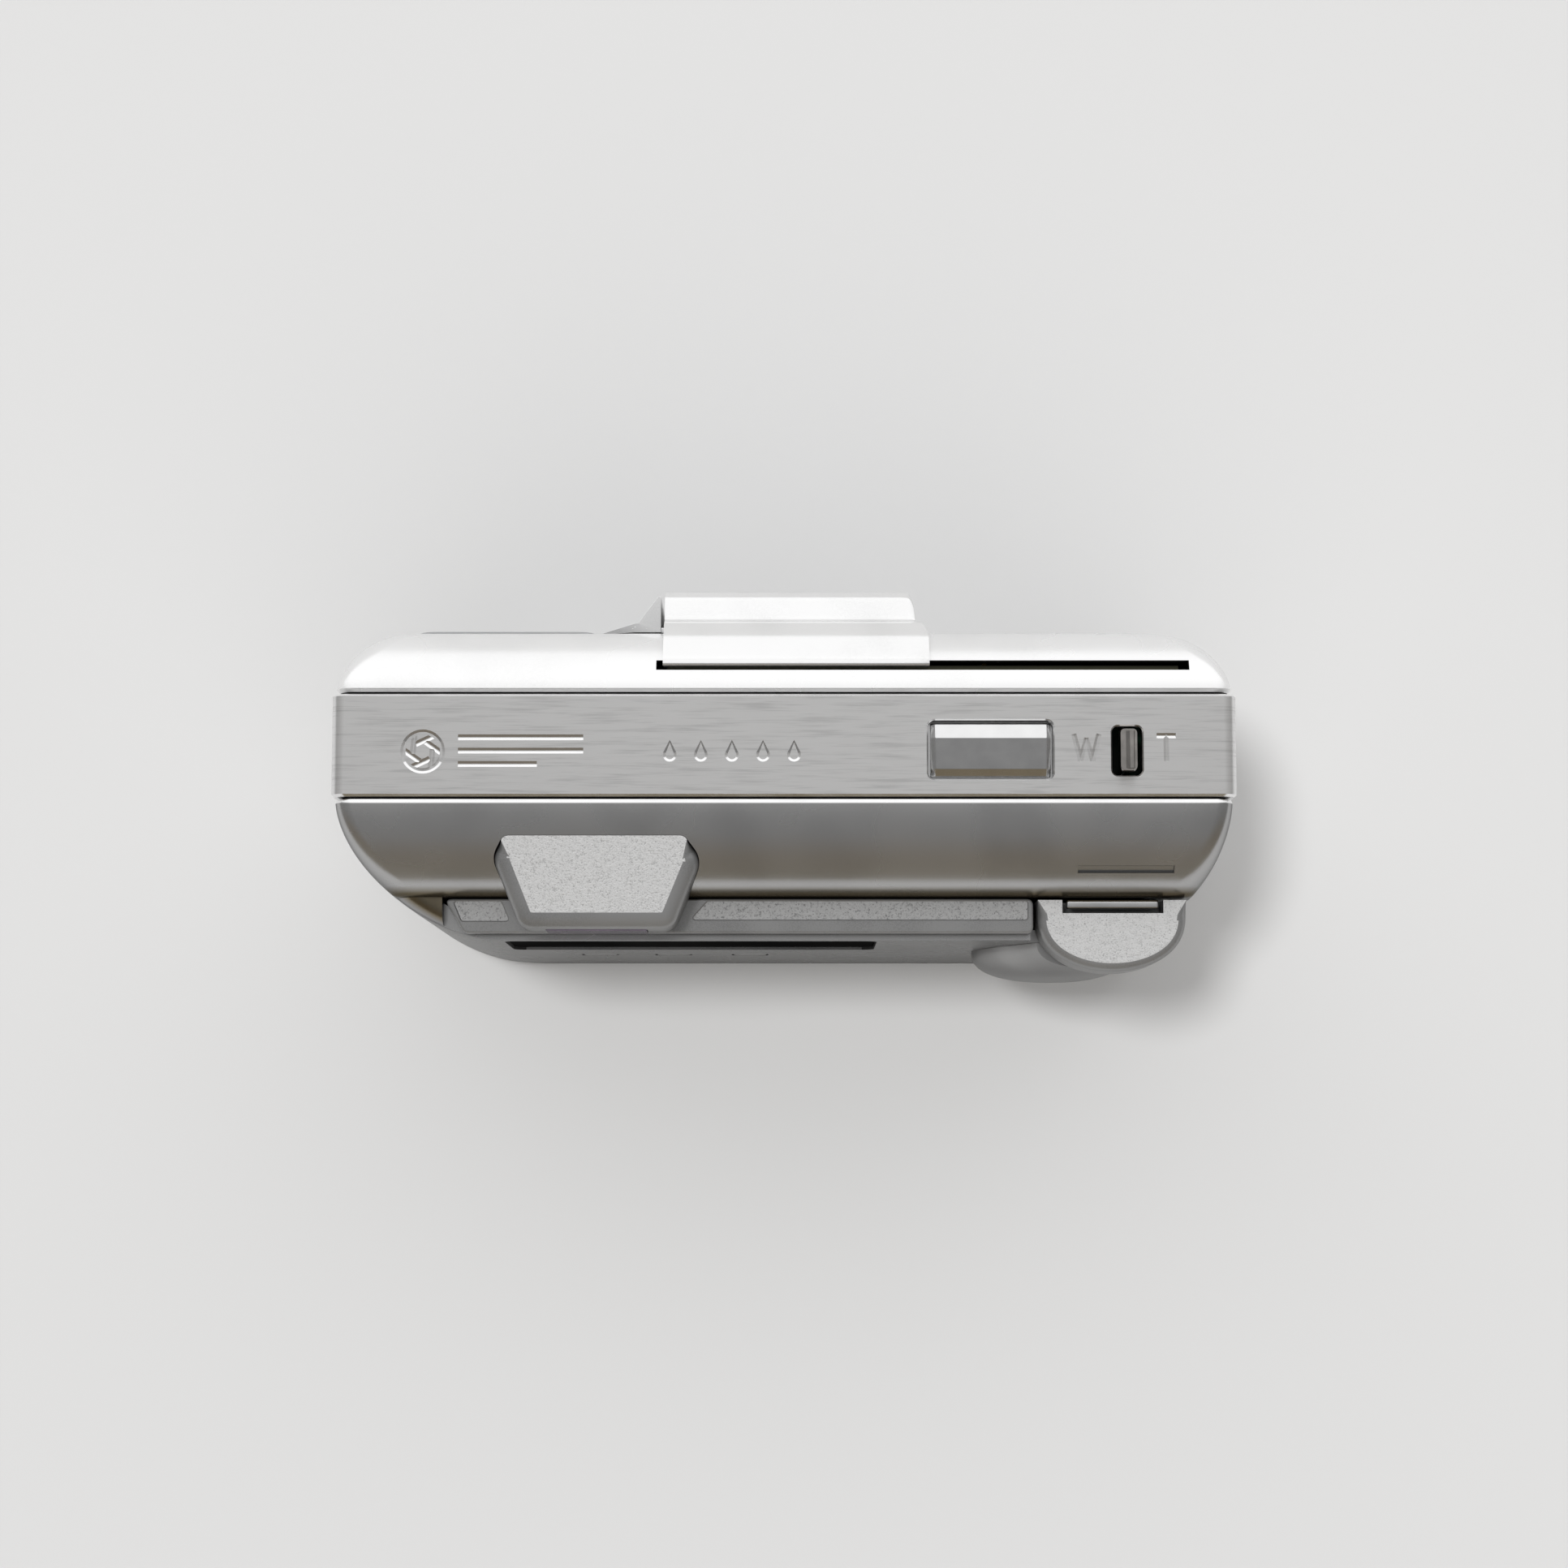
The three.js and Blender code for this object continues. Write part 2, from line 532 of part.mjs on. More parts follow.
// Gears: a toothed wheel on a vertical axis. phase is the angle of one tooth, in radians.
const MODULE = 0.75;
const pitchRadius = (teeth) => (MODULE * teeth) / 2;
const gear = (teeth, x, y, z0, z1, phase) => {
  const step = (2 * Math.PI) / teeth;
  const [foot, tip] = [pitchRadius(teeth) - MODULE, pitchRadius(teeth) + 0.6 * MODULE];
  const points = [];
  for (let i = 0; i < teeth; i++) {
    const angle = phase + i * step;
    for (const [radius, offset] of [
      [foot, -0.2],
      [tip, -0.1],
      [tip, 0.1],
      [foot, 0.2],
    ]) {
      const a = angle + offset * step;
      points.push([x + radius * Math.cos(a), y + radius * Math.sin(a)]);
    }
  }
  return prismZ(points, z0, z1);
};
// The phase that sets a gear's gap against the tooth of the gear that drives it.
const meshPhase = (driver, driven) => {
  const angle = Math.atan2(driven.y - driver.y, driven.x - driver.x);
  const share = ((angle - driver.phase) * driver.teeth) / (2 * Math.PI);
  return angle + Math.PI - ((0.5 - share) * 2 * Math.PI) / driven.teeth;
};
const GEAR_Z = [47.9, 49.3];
const motor = { x: -24.5, y: -11.2 };
const pinion = { ...motor, teeth: 8, phase: 0 };
const spoolGear = { x: SPOOL.x, y: SPOOL.y, teeth: 16 };
const idler = { teeth: 12 };
{
  const reach = pitchRadius(pinion.teeth) + pitchRadius(idler.teeth);
  const toSpool = pitchRadius(spoolGear.teeth) + pitchRadius(idler.teeth);
  const span = Math.hypot(spoolGear.x - motor.x, spoolGear.y - motor.y);
  const along = (reach ** 2 - toSpool ** 2 + span ** 2) / (2 * span);
  const across = Math.sqrt(reach ** 2 - along ** 2);
  const [ux, uy] = [(spoolGear.x - motor.x) / span, (spoolGear.y - motor.y) / span];
  idler.x = motor.x + along * ux + across * uy;
  idler.y = motor.y + along * uy - across * ux;
}
idler.phase = meshPhase(pinion, idler);
spoolGear.phase = meshPhase(idler, spoolGear);

add("drive_motor", rod("z", 4.3, 8, 42, motor.x, motor.y, 20), STEEL, 0.35, 0.9);
const pinionSolid = gear(pinion.teeth, pinion.x, pinion.y, ...GEAR_Z, pinion.phase)
  .add(rod("z", 0.8, 42.4, GEAR_Z[0] + 0.2, pinion.x, pinion.y, 10));
add("motor_pinion", pinionSolid, "#c9a94a", 0.35, 1);
const idlerSolid = gear(idler.teeth, idler.x, idler.y, ...GEAR_Z, idler.phase)
  .subtract(rod("z", 0.9, 40, 60, idler.x, idler.y, 10));
add("idler_gear", idlerSolid, "#e6e2d6", 0.5);
add("idler_pin", rod("z", 0.6, 45.5, 50, idler.x, idler.y, 10), CHROME, 0.3, 1);
const spoolSolid = rod("z", SPOOL.radius, 5.6, 46.8, SPOOL.x, SPOOL.y, 20)
  .add(rod("z", 3, 46.6, GEAR_Z[0] + 0.2, SPOOL.x, SPOOL.y, 12))
  .subtract(box(SPOOL.x - 2.5, SPOOL.x + 2.5, SPOOL.y + 4.6, SPOOL.y + 8, 14, 38))
  .add(gear(spoolGear.teeth, SPOOL.x, SPOOL.y, ...GEAR_Z, spoolGear.phase));
add("take_up_spool", spoolSolid, "#242425", 0.55);

const forkSolid = rod("z", 2.6, 45, 49.6, CASSETTE.x, CASSETTE.y, 12)
  .subtract(box(CASSETTE.x - 0.7, CASSETTE.x + 0.7, -10, 20, 44, 47))
  .add(rod("z", 1.2, 49.4, 53, CASSETTE.x, CASSETTE.y, 12))
  .add(rod("z", 4.4, 51.6, 53, CASSETTE.x, CASSETTE.y, 20));
add("rewind_fork", forkSolid, "#2c2c2d", 0.5);

// ---------- Lens ----------
const lensRod = (radius, a, b, sides = 28) => rod("y", radius, a, b, LENS.x, LENS.z, sides);
const lensTube = (outer, inner, a, b) => lensRod(outer, a, b).subtract(lensRod(inner, a - 1, b + 1));
add("lens_mount_tube", lensTube(13.3, 12.2, -19.9, 6), "#1f1f20", 0.5);
const zoomBarrel = lensTube(11.8, 10.6, -21.4, 3)
  .add(lensTube(11.2, 5.4, -20.9, -19.7));
add("zoom_barrel", zoomBarrel, "#3a3b3d", 0.35, 0.7);
add("front_element", lensRod(5, -20.6, -18.4, 24), GLASS, 0.03);
// The shutter block carries a pin for each of its two blades.
const BLADE = { pivot: 7.6, half: 3.2, past: 0.7, thick: 0.35 };
const shutterBlock = lensTube(10.2, 2.7, -15, -12.6)
  .add(rod("y", 0.5, -12.8, -10.2, LENS.x + BLADE.pivot, LENS.z, 10))
  .add(rod("y", 0.5, -12.8, -10.2, LENS.x - BLADE.pivot, LENS.z, 10));
add("shutter_block", shutterBlock, "#19191a", 0.6);
const blade = (side, y) => {
  const points = [
    [LENS.x + side * (BLADE.pivot + 1.3), LENS.z - 1.2],
    [LENS.x + side * (BLADE.pivot + 1.3), LENS.z + 1.2],
    [LENS.x + side * 4.5, LENS.z + BLADE.half],
    [LENS.x - side * BLADE.past, LENS.z + BLADE.half],
    [LENS.x - side * BLADE.past, LENS.z - BLADE.half],
    [LENS.x + side * 4.5, LENS.z - BLADE.half],
  ];
  const outline = side > 0 ? points : points.reverse();
  return prismY(outline, y, y + BLADE.thick).subtract(
    rod("y", 0.75, y - 1, y + 1, LENS.x + side * BLADE.pivot, LENS.z, 10),
  );
};
add("shutter_blade_left", blade(1, -11.9), "#0f0f10", 0.4, 0.5);
add("shutter_blade_right", blade(-1, -11.1), "#0f0f10", 0.4, 0.5);
add("focus_cell", lensTube(8.6, 6.2, -7, -1), "#202021", 0.5);
add("rear_element", lensRod(5.9, -5.6, -2.4, 20), GLASS, 0.03);

// Surround panel in front of the shell: windows above the lens and a faceted stop beside the cover
const PANEL = { x0: -13.6, x1: 15.2, y0: -18.85, y1: FACE_Y - GAP, z1: 49.9 };
const STOP = { x0: 15, x1: 22.4, z0: 13.6, z1: 50.2 };
const OBJECTIVE = { x0: 2.2, x1: 9.8, z0: 44.2, z1: 48.8 };
const AF = [
  { name: "focus_window_near", x0: -6.4, x1: -2.2 },
  { name: "focus_window_far", x0: -11.8, x1: -7.6 },
];
const windowCut = (w) =>
  box(w.x0 - GAP, w.x1 + GAP, -30, FACE_Y + 3, OBJECTIVE.z0 - GAP, OBJECTIVE.z1 + GAP);
const stopProfile = [
  [STOP.x0, PANEL.y1],
  [STOP.x0, COVER_Y + 0.6],
  [STOP.x0 + 0.5, COVER_Y + 0.5],
  [STOP.x0 + 2.1, -20.2],
  [STOP.x0 + 2.6, -19.5],
  [STOP.x1, -18.6],
  [STOP.x1, PANEL.y1],
];
const stop = prismZ(stopProfile, STOP.z0, STOP.z1)
  .subtract(
    prismY([[10, 60], [30, 60], [30, 43.5], [22.6, 48.4], [15.4, 51.4]], -30, -10),
  )
  .subtract(prismY([[10, 10], [15.4, 12.4], [22.6, 15.4], [30, 19], [30, 10]], -30, -10));
let panel = box(PANEL.x0, PANEL.x1, PANEL.y0, PANEL.y1, LENS.z, PANEL.z1)
  .add(stop)
  .subtract(lensRod(13.7, -30, -10));
for (const w of [OBJECTIVE, ...AF]) panel = panel.subtract(windowCut(w));
add("lens_surround", panel, "#c2c3c4", 0.3, 0.85);
const windowGlass = (w) => box(w.x0, w.x1, -18.6, -16.9, OBJECTIVE.z0, OBJECTIVE.z1);
add("finder_objective", windowGlass(OBJECTIVE), GLASS, 0.05);
for (const w of AF) add(w.name, windowGlass(w), "#3b2b33", 0.05);

// ---------- Lens cover: slides towards the hand end ----------
// Outline in (y, z) of the cover's outer skin; bulge is 0 at the flat margin and 1 over the lens.
const COVER_BASE = FACE_Y - GAP - WALL;
const coverSkin = (bulge, inset) => {
  const mix = (flat, full) => flat + (full - flat) * bulge;
  const front = mix(COVER_BASE, COVER_Y) + inset;
  return [
    [-12.6, 58.5 - inset],
    [-13.8, 58.35 - inset],
    [-15.2, 57.6 - inset],
    [-17 + inset * 0.6, 56.1 - inset * 0.9],
    [-18.6 + inset * 0.9, 53.9 - inset * 0.5],
    [COVER_BASE + inset, 52.2],
    [mix(COVER_BASE, -21.9) + inset, mix(51.6, 51.5) - inset * bulge],
    [front, 49.9 - inset * bulge * 0.6],
    [front, 14.4 + inset * bulge * 0.6],
    [mix(COVER_BASE, -21.9) + inset, 12.4 + inset * bulge],
    [COVER_BASE + inset, 11.4 + inset * bulge * 0.3],
    [COVER_BASE + inset, 5.9],
  ];
};
const coverRing = (x, bulge, inset) => {
  const skin = coverSkin(bulge, inset);
  const back = [
    [-9, 5.9],
    [-9, 58.5 - inset],
  ];
  return [...skin, ...back].map(([y, z]) => [x, y, z]);
};
// The cover's outline isn't convex, so the loft is made slice by slice.
const coverLoft = (sections, inset) => {
  let made = null;
  for (let i = 0; i + 1 < sections.length; i++) {
    const [a, b] = [sections[i], sections[i + 1]];
    const slice = sliceLoft(coverRing(a.x, a.bulge, inset), coverRing(b.x, b.bulge, inset));
    made = made ? made.add(slice) : slice;
  }
  return made;
};
const COVER_X = { left: 14.5, right: -17.4 };
const FLANGE_Y = [-13.4, -12.8];
const coverSections = [
  { x: COVER_X.left, bulge: 1 },
  { x: -12.6, bulge: 1 },
  { x: -14.9, bulge: 0.85 },
  { x: -16.1, bulge: 0.02 },
  { x: COVER_X.right, bulge: 0.02 },
];
const innerSections = [
  { x: COVER_X.left + 2, bulge: 1 },
  { x: -12.1, bulge: 1 },
  { x: -14, bulge: 0.85 },
  { x: -15.2, bulge: 0.02 },
  { x: COVER_X.right - 2, bulge: 0.02 },
];
const shellEnvelope = loft(
  RING_SHARES.map((s) => frontRing(s, -GAP, FRONT_START - s * (frontDepth + GAP))),
);
const coverShell = coverLoft(coverSections, 0)
  .subtract(coverLoft(innerSections, WALL))
  .subtract(shellEnvelope)
  .subtract(box(-FAR, FAR, FLANGE_Y[1], 0, 0, 70));
// Flanges that run in the top and bottom slots of the front shell
const topFlange = box(COVER_X.right + 0.3, COVER_X.left - 0.3, ...FLANGE_Y, 55.6, 58.1);
const bottomFlange = box(COVER_X.right + 0.3, COVER_X.left - 0.3, COVER_BASE + 0.1, -16.2, 6, 6.7);
const coverPieces = coverShell
  .add(topFlange)
  .add(bottomFlange)
  .decompose()
  .sort((a, b) => b.volume() - a.volume());
add("lens_cover", coverPieces[0], "#cfd0d1", 0.28, 0.85);
for (const [name, x0, y0, y1, z0, z1] of [
  ["cover_rail_top", -47.5, -13.4, -11.6, 53.9, 55],
  ["cover_rail_bottom", -35, -15.8, -14.6, 4.4, 7.6],
]) {
  add(name, box(x0, 14, y0, y1, z0, z1), "#8d8e8f", 0.4, 0.8);
}

// ---------- Flash ----------
const flashOutline = roundedRect(FLASH.x0, FLASH.x1, FLASH.z0, FLASH.z1, 2.2, 3);
add("flash_window", prismY(flashOutline, FACE_Y - 0.55, -16.9), "#dfe5e8", 0.1);
const reflector = box(24, 44, -16.5, -12.3, 41.4, 48.6).subtract(
  prismZ([[24.8, -17], [43.2, -17], [41.5, -13.1], [26.5, -13.1]], 42.2, 47.8),
);
add("flash_reflector", reflector, CHROME, 0.1, 1);
add("flash_tube", rod("x", 1, 27.2, 40.8, -14.6, 45, 10), "#e9edf0", 0.05);
add("flash_capacitor", rod("z", 4.2, 5, 40, 17.3, -12.1, 20), "#20262e", 0.4);

// ---------- Viewfinder ----------
const finderTunnel = box(1.6, 10.4, -16.6, -12.4, 43.9, 51.3)
  .add(box(1.6, 10.4, -12.5, -10.8, VIEW_TUBE.z0, 53.4))
  .add(box(1.6, 10.4, -10.9, -2, VIEW_TUBE.z0, VIEW_TUBE.z1))
  .add(box(1.6, VIEW_TUBE.x1, -2.1, 6, VIEW_TUBE.z0, VIEW_TUBE.z1))
  .add(box(VIEW_TUBE.x0, VIEW_TUBE.x1, 5.9, 17, VIEW_TUBE.z0, VIEW_TUBE.z1));
add("finder_tunnel", finderTunnel, BLACK, 0.6);

// ---------- Controls, board and battery ----------
const BUTTON_TOP = HEIGHT + 0.75;
const buttonRing = (inset, radius, z) =>
  roundedRect(
    SHUTTER.x0 + inset,
    SHUTTER.x1 - inset,
    SHUTTER.y0 + inset,
    SHUTTER.y1 - inset,
    radius,
  ).map(([x, y]) => [x, y, z]);
const buttonCap = loft([
  buttonRing(GAP, 0.7, 56),
  buttonRing(GAP, 0.7, HEIGHT - 0.1),
  buttonRing(0.95, 0.4, BUTTON_TOP),
]);
const shutterButton = buttonCap
  .add(box(SHUTTER.x0 - 0.6, SHUTTER.x1 + 0.6, SHUTTER.y0 - 0.5, SHUTTER.y1 + 0.5, 56.5, 57.4))
  .add(rod("z", 1.4, 53.9, 56.2, -24.6, -2.7, 12));
add("shutter_button", shutterButton, CHROME, 0.2, 0.95);
add("shutter_switch", box(-27, -22.2, -5, -0.4, 51.5, 52.7), "#c7c8ca", 0.4, 0.6);

const LEVER = { width: 2.3, y0: -5.2, y1: 0, top: HEIGHT + 1.5, pivot: 54 };
const zoomLever = box(
  ZOOM.x - LEVER.width / 2,
  ZOOM.x + LEVER.width / 2,
  LEVER.y0,
  LEVER.y1,
  52.6,
  LEVER.top - 0.5,
)
  .add(box(ZOOM.x - 0.7, ZOOM.x + 0.7, LEVER.y0 + 0.5, LEVER.y1 - 0.5, 55, LEVER.top))
  .subtract(rod("y", 0.85, -10, 10, ZOOM.x, LEVER.pivot, 12));
add("zoom_lever", zoomLever, "#8b8c86", 0.25, 0.9);
add("zoom_lever_pin", rod("y", 0.55, -7.4, 2.2, ZOOM.x, LEVER.pivot, 12), CHROME, 0.3, 1);
add("main_board", box(-50, -1, -9, 5.2, 50.1, 51.1), "#1f4a35", 0.6);

const battery = rod("z", BATTERY.radius, 3.2, 29.6, BATTERY.x, BATTERY.y, 24)
  .add(rod("z", 2.6, 29.4, 30.4, BATTERY.x, BATTERY.y, 12));
add("battery", battery, "#3d4650", 0.4, 0.3);
add("battery_contact", box(-48, -39.4, -11, -5, 30.8, 31.3), "#c9a94a", 0.3, 1);
const BATTERY_HINGE = { x: -36.8, z: 1.3, knuckle: 1.05, pin: 0.4 };
const hingeRod = (radius, y0, y1) => rod("y", radius, y0, y1, BATTERY_HINGE.x, BATTERY_HINGE.z, 12);
const batteryDoor = box(
  BATTERY_DOOR.x0,
  BATTERY_DOOR.x1,
  BATTERY_DOOR.y0,
  BATTERY_DOOR.y1,
  0.1,
  0.1 + BATTERY_DOOR.thick,
)
  .intersect(frontOuter.add(prismY(beltOuter, BELT_FRONT - 1, BELT_REAR)))
  .add(hingeRod(BATTERY_HINGE.knuckle, -7.5, 0))
  .subtract(hingeRod(BATTERY_HINGE.pin + 0.15, -20, 20));
add("battery_door", batteryDoor, SILVER, 0.45, 0.5);
add("battery_door_pin", hingeRod(BATTERY_HINGE.pin, -8.5, 0.5), CHROME, 0.3, 1);

// ---------- Base ----------
const socket = rod("z", TRIPOD.radius, 0, 7.8, TRIPOD.x, TRIPOD.y, 24)
  .subtract(rod("z", 3.25, -1, 6.6, TRIPOD.x, TRIPOD.y, 24));
add("tripod_socket", socket, CHROME, 0.3, 1);
for (const [name, x] of Object.entries(SCREWS)) {
  const cross = box(x - 0.9, x + 0.9, SCREW_Y - 0.15, SCREW_Y + 0.15, 0, 0.8)
    .add(box(x - 0.15, x + 0.15, SCREW_Y - 0.9, SCREW_Y + 0.9, 0, 0.8));
  add(name, rod("z", 1.3, 0.2, 4, x, SCREW_Y, 16).subtract(cross), CHROME, 0.35, 1);
}

export default root;
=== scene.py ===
"""Looks of a compact all-weather zoom camera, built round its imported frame.

Shapes are worked out in millimetres and stored in metres. +Z is up, the lens side faces -Y, and the
user's right hand holds the -X end.
"""

import json
import math

import bmesh
import bpy
from mathutils import Matrix, Vector


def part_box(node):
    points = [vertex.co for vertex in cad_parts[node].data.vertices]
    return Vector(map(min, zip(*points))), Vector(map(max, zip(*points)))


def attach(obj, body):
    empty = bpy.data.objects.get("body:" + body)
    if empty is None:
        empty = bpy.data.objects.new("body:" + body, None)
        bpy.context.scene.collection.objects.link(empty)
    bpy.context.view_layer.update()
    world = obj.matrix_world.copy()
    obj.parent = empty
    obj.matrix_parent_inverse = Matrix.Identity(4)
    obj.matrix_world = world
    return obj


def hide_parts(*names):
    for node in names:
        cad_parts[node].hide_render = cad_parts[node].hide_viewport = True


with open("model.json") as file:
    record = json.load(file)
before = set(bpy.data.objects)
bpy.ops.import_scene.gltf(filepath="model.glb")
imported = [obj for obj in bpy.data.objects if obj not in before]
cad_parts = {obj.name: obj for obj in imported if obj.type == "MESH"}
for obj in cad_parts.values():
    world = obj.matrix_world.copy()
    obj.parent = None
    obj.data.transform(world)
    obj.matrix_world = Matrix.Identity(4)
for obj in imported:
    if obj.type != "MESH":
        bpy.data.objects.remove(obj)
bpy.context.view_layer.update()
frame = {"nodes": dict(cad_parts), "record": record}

MM = 0.001
NODES = frame["nodes"]


def mm_box(node_name):
    """The lowest and highest x, y and z of a CAD node, in millimetres."""
    low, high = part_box(node_name)
    return [value / MM for pair in zip(low, high) for value in pair]


def mm_centre(node_name):
    """The middle x, y and z of a CAD node's box, in millimetres."""
    box = mm_box(node_name)
    return [(box[i] + box[i + 1]) / 2 for i in (0, 2, 4)]


# ---------- Sizes, in millimetres, from the frame and the camera's own shape ----------
BELT = mm_box("belt_frame")
FRONT = mm_box("front_shell")
REAR = mm_box("rear_shell")
COVER = mm_box("lens_cover")
HOUSING = mm_box("eyepiece_housing")
STRAP = mm_box("strap_housing")
DOOR = mm_box("film_door")
HALF_WIDTH = BELT[1]
HEIGHT = BELT[5]
SHELL_X = FRONT[1]
SHELL_TOP = FRONT[5]
FRONT_START, FACE_Y = FRONT[3], FRONT[2]
REAR_START, BACK_Y = REAR[2], DOOR[3]
STRIP_Y = 14.25
STRIP_TOP = 51.0
BELT_CORNER = 1.6
BELT_WALL = 1.2
SHELL_WALL = 1.0
GAP = 0.3
LENS_X, _, LENS_Z = mm_centre("lens_mount_tube")
FAR = 60
HINGE_X, HINGE_Y = -46, 16.8

# How far each side of a shell draws in over its depth, and the power of that curve
FRONT_SIDE = (6.6, 1.6)
FRONT_TOP = (8, 1.8)
FRONT_BOTTOM = (4, 3)
REAR_LEFT = (19, 1.75)
REAR_RIGHT = (13, 1.8)
REAR_TOP = (7.7, 2)
REAR_BOTTOM = (1.6, 4)


# ---------- Mesh helpers ----------
def clamp(value):
    return max(0, min(1, value))


def ease(value, start, span):
    """Rises smoothly from 0 to 1 over a span."""
    t = clamp((value - start) / span)
    return t * t * (3 - 2 * t)


def new_object(name, data):
    made = bpy.data.objects.new(name, data)
    bpy.context.collection.objects.link(made)
    return made


def clean(mesh, weld=0.0):
    """Joins points closer than weld, and turns the faces outwards."""
    work = bmesh.new()
    work.from_mesh(mesh)
    if weld:
        bmesh.ops.remove_doubles(work, verts=work.verts, dist=weld)
    bmesh.ops.recalc_face_normals(work, faces=work.faces)
    work.to_mesh(mesh)
    work.free()


def solid(name, points, faces):
    """An object in millimetres, its faces turned outwards."""
    mesh = bpy.data.meshes.new(name)
    mesh.from_pydata([tuple(p) for p in points], [], faces)
    clean(mesh)
    return new_object(name, mesh)


def loft(name, rings):
    """A closed solid through rings with the same number of points."""
    count = len(rings[0])
    last = (len(rings) - 1) * count
    faces = [list(range(count)), list(range(last, last + count))]
    for row in range(len(rings) - 1):
        for i in range(count):
            a = row * count + i
            b = row * count + (i + 1) % count
            faces.append([a, b, b + count, a + count])
    return solid(name, [p for ring in rings for p in ring], faces)


def place(axis, u, v, w):
    """A point from two coordinates in X, Y, Z order and the one along the axis."""
    return {"x": (w, u, v), "y": (u, w, v), "z": (u, v, w)}[axis]


def prism(name, axis, stations):
    """A solid through outlines: stations is a list of (outline, place on the axis)."""
    return loft(name, [[place(axis, u, v, w) for u, v in outline] for outline, w in stations])


def slab(name, axis, outline, low, high):
    """A solid with the same outline all the way."""
    return prism(name, axis, [(outline, low), (outline, high)])


def arc(cu, cv, radius, start, end, steps):
    """Points of an arc, from start to end degrees."""
    angles = [math.radians(start + (end - start) * i / steps) for i in range(steps + 1)]
    return [(cu + radius * math.cos(a), cv + radius * math.sin(a)) for a in angles]


def rounded_rect(u0, u1, v0, v1, radius, steps=8):
    points = []
    corners = ((u1, v1, 0), (u0, v1, 90), (u0, v0, 180), (u1, v0, 270))
    for u, v, start in corners:
        cu = u - radius if u == u1 else u + radius
        cv = v - radius if v == v1 else v + radius
        points += arc(cu, cv, radius, start, start + 90, steps)
    return points


def face_outline(box, grow, corner):
    """A rounded outline round a box as seen along Y, grown on all sides."""
    return rounded_rect(box[0] - grow, box[1] + grow, box[4] - grow, box[5] + grow, corner)


def rounded_path(corners, steps=6, closed=True):
    """A polyline through (u, v, radius) corners, each corner cut by a curve of its radius."""
    points = []
    count = len(corners)
    for i, (u, v, radius) in enumerate(corners):
        here = Vector((u, v))
        if radius == 0 or (not closed and i in (0, count - 1)):
            points.append((u, v))
            continue
        before = Vector(corners[i - 1][:2]) - here
        after = Vector(corners[(i + 1) % count][:2]) - here
        turn = math.pi - before.angle(after)
        reach = radius * math.tan(turn / 2)
        reach = min(reach, 0.48 * before.length, 0.48 * after.length)
        start = here + before.normalized() * reach
        end = here + after.normalized() * reach
        for k in range(steps + 1):
            t = k / steps
            p = start * (1 - t) ** 2 + here * 2 * t * (1 - t) + end * t**2
            points.append((p.x, p.y))
    return points


def shrink(outline, amount, weight=lambda u, v: 1):
    """Moves each point of an outline inwards along its own normal."""
    count = len(outline)
    turn = sum(
        outline[i][0] * outline[(i + 1) % count][1] - outline[(i + 1) % count][0] * outline[i][1]
        for i in range(count)
    )
    side = 1 if turn > 0 else -1
    moved = []
    for i, (u, v) in enumerate(outline):
        along = Vector(outline[(i + 1) % count]) - Vector(outline[i - 1])
        inward = Vector((-along.y, along.x)).normalized() * side
        step = amount * weight(u, v)
        moved.append((u + inward.x * step, v + inward.y * step))
    return moved


def dome(outline, low, high, fillet, steps=6, axis="z", weight=lambda u, v: 1):
    """Stations of a prism whose far edge is rounded by a fillet."""
    stations = [(outline, low), (outline, high - fillet)]
    for i in range(1, steps + 1):
        angle = math.pi / 2 * i / steps
        inset = fillet * (1 - math.cos(angle))
        stations.append((shrink(outline, inset, weight), high - fillet + fillet * math.sin(angle)))
    return stations


def block(name, x0, x1, y0, y1, z0, z1, radius=0.0, steps=3):
    """A box, with all its edges rounded where a radius is given."""
    outline = [(x0, y0), (x1, y0), (x1, y1), (x0, y1)]
    made = slab(name, "z", outline, z0, z1)
    if radius:
        round_edges(made, radius, steps)
    return made


def rod(name, axis, radius, low, high, u, v, sides=48):
    ring = arc(u, v, radius, 0, 360 * (sides - 1) / sides, sides - 1)
    return slab(name, axis, ring, low, high)


def lathe(name, profile, sides=96):
    """A body of revolution round the lens axis: profile is a closed list of (radius, y)."""
    rows = len(profile)
    points = []
    for k in range(sides):
        angle = 2 * math.pi * k / sides
        points += [
            (LENS_X + r * math.cos(angle), y, LENS_Z + r * math.sin(angle)) for r, y in profile
        ]
    faces = []
    for k in range(sides):
        here, there = k * rows, (k + 1) % sides * rows
        for i in range(rows):
            j = (i + 1) % rows
            faces.append([here + i, here + j, there + j, there + i])
    made = solid(name, points, faces)
    clean(made.data, 1e-4)
    return made


def bake(target):
    """Turns an object's modifiers into its mesh."""
    bpy.context.view_layer.update()
    graph = bpy.context.evaluated_depsgraph_get()
    mesh = bpy.data.meshes.new_from_object(target.evaluated_get(graph))
    target.modifiers.clear()
    target.data = mesh
    return target


def combine(target, others, operation="DIFFERENCE"):
    """Cuts others from a solid, or joins them to it, and deletes them."""
    for other in others:
        modifier = target.modifiers.new("combine", "BOOLEAN")
        modifier.operation = operation
        modifier.solver = "EXACT"
        modifier.object = other
    bake(target)
    for other in others:
        bpy.data.objects.remove(other)
    return target


def round_edges(target, width, steps=3, angle=30):
    modifier = target.modifiers.new("round", "BEVEL")
    modifier.width = width
    modifier.segments = steps
    modifier.limit_method = "ANGLE"
    modifier.angle_limit = math.radians(angle)
    return bake(target)


def merge(name, parts):
    """One object holding several separate solids."""
    work = bmesh.new()
    for part in parts:
        work.from_mesh(part.data)
        bpy.data.objects.remove(part)
    mesh = bpy.data.meshes.new(name)
    work.to_mesh(mesh)
    work.free()
    return new_object(name, mesh)


